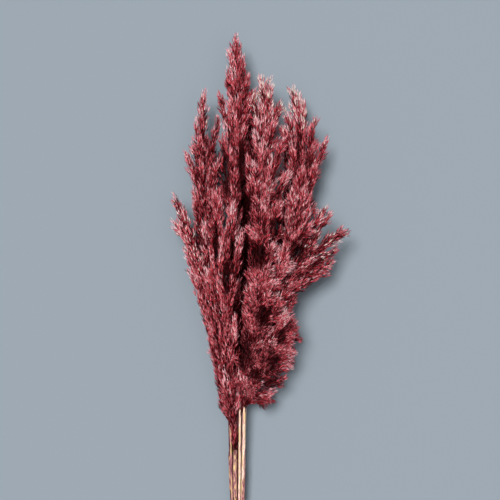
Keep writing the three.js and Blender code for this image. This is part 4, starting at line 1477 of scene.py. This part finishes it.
@dataclass
class Band:
    """The flat elastic band, which runs straight from stem to stem.

    Attributes:
        wall: Its thickness.
        width: Its width along the stems.
        slope: How steeply the stems rise under it, in radians.
        sag: How far it runs inside a true ring midway between stems, as a share of its radius.
        steps: Facets round the bundle.
        rows: Facets along the stems.
    """

    wall: float = 0.0008
    width: float = 0.0064
    slope: float = math.atan2(0.014, 0.150)
    sag: float = 0.05 * 0.8
    steps: int = 108
    rows: int = 6

    def build(self) -> bpy.types.Object:
        """Makes the band.

        Returns:
            The piece, not yet dressed.
        """
        low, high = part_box("band")
        middle = (low + high) / 2
        outer = (high.x - low.x) / 2
        shape = bmesh.new()
        bmesh.ops.create_circle(shape, cap_ends=False, radius=outer - self.wall, segments=self.steps)
        stem_angles = [math.radians(angle) for angle in range(30, 390, 40)]
        midway = math.radians(20)
        for vert in shape.verts:
            angle = math.atan2(vert.co.y, vert.co.x)
            off = min(abs(math.remainder(angle - stem, 2 * math.pi)) for stem in stem_angles)
            vert.co *= 1 - self.sag * (off / midway) ** 2
        edges = shape.edges[:]
        for _ in range(self.rows):
            grown = bmesh.ops.extrude_edge_only(shape, edges=edges)["geom"]
            edges = [part for part in grown if isinstance(part, bmesh.types.BMEdge)]
            ring = [part for part in grown if isinstance(part, bmesh.types.BMVert)]
            bmesh.ops.translate(shape, vec=(0, 0, self.width / self.rows), verts=ring)
        bmesh.ops.translate(shape, vec=(0, 0, -self.width / 2), verts=shape.verts[:])
        bmesh.ops.recalc_face_normals(shape, faces=shape.faces[:])
        bmesh.ops.solidify(shape, geom=shape.faces[:], thickness=-self.wall)
        bmesh.ops.recalc_face_normals(shape, faces=shape.faces[:])
        turn = Matrix.Rotation(-math.pi / 2 + self.slope, 4, "X")
        bmesh.ops.transform(shape, matrix=Matrix.Translation(middle) @ turn, verts=shape.verts[:])
        thing = add_object("elastic_band", to_mesh(shape, "band"))
        soft = thing.modifiers.new("soft_edges", "BEVEL")
        soft.width = 0.0002
        soft.segments = 2
        soft.limit_method = "ANGLE"
        return thing


# ---------------------------------------------------------------- camera, lights and floor


@dataclass
class Studio:
    """The camera above the bundle, soft lights and a plain floor.

    Attributes:
        view_width: How much is seen across the picture, at the bundle.
        lens: The camera's focal length in millimetres.
        aim: The point of the bundle's box in the middle of the picture, as an offset from its own middle.
        height: The height at which view_width is measured.
        key: The strength of the main light, which is far off.
        fill: The strength of the light above.
        horizon: The strength of the surroundings at the horizon.
        overhead: The same, overhead.
        key_place: Where the main light stands.
        key_angle: How large it looks, in radians, which softens its shadows.
        fill_place: Where the light above stands.
        fill_size: How wide it is.
        plumes: The point that the lights face.
        floor: Half the floor's width.
    """

    view_width: float = 0.600
    lens: float = 85.0
    aim: tuple[float, float] = (-0.0106, 0.0947)
    height: float = 0.055
    key: float = 3.8
    fill: float = 13.0
    horizon: float = 0.62
    overhead: float = 0.20
    key_place: Triple = (-0.36, 0.55, 1.85)
    key_angle: float = math.radians(20)
    fill_place: Triple = (0.2, 0.0, 2.2)
    fill_size: float = 1.6
    plumes: Triple = (0.0, 0.10, 0.04)
    floor: float = 20.0

    def camera(self) -> None:
        """Sets the camera above the bundle, looking straight down, with the tips up in the picture."""
        data = bpy.data.cameras.new("camera")
        data.lens = self.lens
        distance = self.view_width * data.lens / data.sensor_width
        camera = bpy.data.objects.new("camera", data)
        low, high = CAD_BOX
        middle = (low + high) / 2
        camera.location = (middle.x + self.aim[0], middle.y + self.aim[1], self.height + distance)
        bpy.context.scene.collection.objects.link(camera)
        bpy.context.scene.camera = camera

    def _lamp(self, name: str, kind: str, place: Triple, power: float) -> Any:
        """Adds a lamp that faces the plumes.

        Args:
            name: Its name.
            kind: Its type.
            place: Where it stands.
            power: Its strength.

        Returns:
            The lamp's data.
        """
        data = bpy.data.lights.new(name, kind)
        data.energy = power
        lamp = bpy.data.objects.new(name, data)
        lamp.location = place
        aim = Vector(self.plumes) - Vector(place)
        lamp.rotation_mode = "QUATERNION"
        lamp.rotation_quaternion = aim.to_track_quat("-Z", "Y")
        bpy.context.scene.collection.objects.link(lamp)
        return data

    def surroundings(self) -> None:
        """Lights the scene from all round: pale at the horizon and dimmer overhead."""
        world = bpy.data.worlds.new("surroundings")
        world.use_nodes = True
        nodes, links = world.node_tree.nodes, world.node_tree.links
        background = nodes["Background"]
        background.inputs["Color"].default_value = tint(214, 222, 230)
        way = nodes.new("ShaderNodeTexCoord").outputs["Generated"]
        split = nodes.new("ShaderNodeSeparateXYZ")
        links.new(way, split.inputs[0])
        fade = nodes.new("ShaderNodeMapRange")
        span = {"From Min": 0.04, "From Max": 0.50, "To Min": self.horizon, "To Max": self.overhead}
        for key, value in span.items():
            fade.inputs[key].default_value = value
        links.new(split.outputs["Z"], fade.inputs["Value"])
        links.new(fade.outputs["Result"], background.inputs["Strength"])
        bpy.context.scene.world = world

    def build(self) -> None:
        """Makes the camera, the lights, the floor and the pale surroundings."""
        self.camera()
        self._lamp("key", "SUN", self.key_place, self.key).angle = self.key_angle
        self._lamp("fill", "AREA", self.fill_place, self.fill).size = self.fill_size
        shape = bmesh.new()
        bmesh.ops.create_grid(shape, x_segments=1, y_segments=1, size=self.floor)
        floor = add_object("floor", to_mesh(shape, "floor"))
        floor.data.materials.append(FloorFinish().material())
        self.surroundings()
        bpy.context.scene.view_settings.view_transform = "Standard"


def main() -> None:
    """Builds the bundle piece by piece."""
    logging.basicConfig(level=logging.INFO, format="%(message)s")
    Studio().build()
    made: list[bpy.types.Object] = []

    plume_finish = PlumeFinish().material()
    scatter = Scatter()
    for stalk in STALKS:
        made.append(dress(Plume(stalk, scatter).build(), plume_finish, f"plume_{stalk.name}"))
    scatter.clear()

    stem_finishes = {dye: StemFinish(dye).material() for dye in StemDye}
    for name, (dye, radius) in STEMS.items():
        made.append(dress(Stem(name, radius=radius).build(), stem_finishes[dye], f"stem_{name}"))

    sheath_finish = SheathFinish().material()
    for name, stem in SHEATHS.items():
        made.append(dress(Sheath(name, stem).build(), sheath_finish, f"leaf_sheath_{name}"))

    made.append(dress(Band().build(), BandFinish().material(), "band"))
    log.info("%d triangles in all", count_triangles(made))


if __name__ == "__main__":
    main()
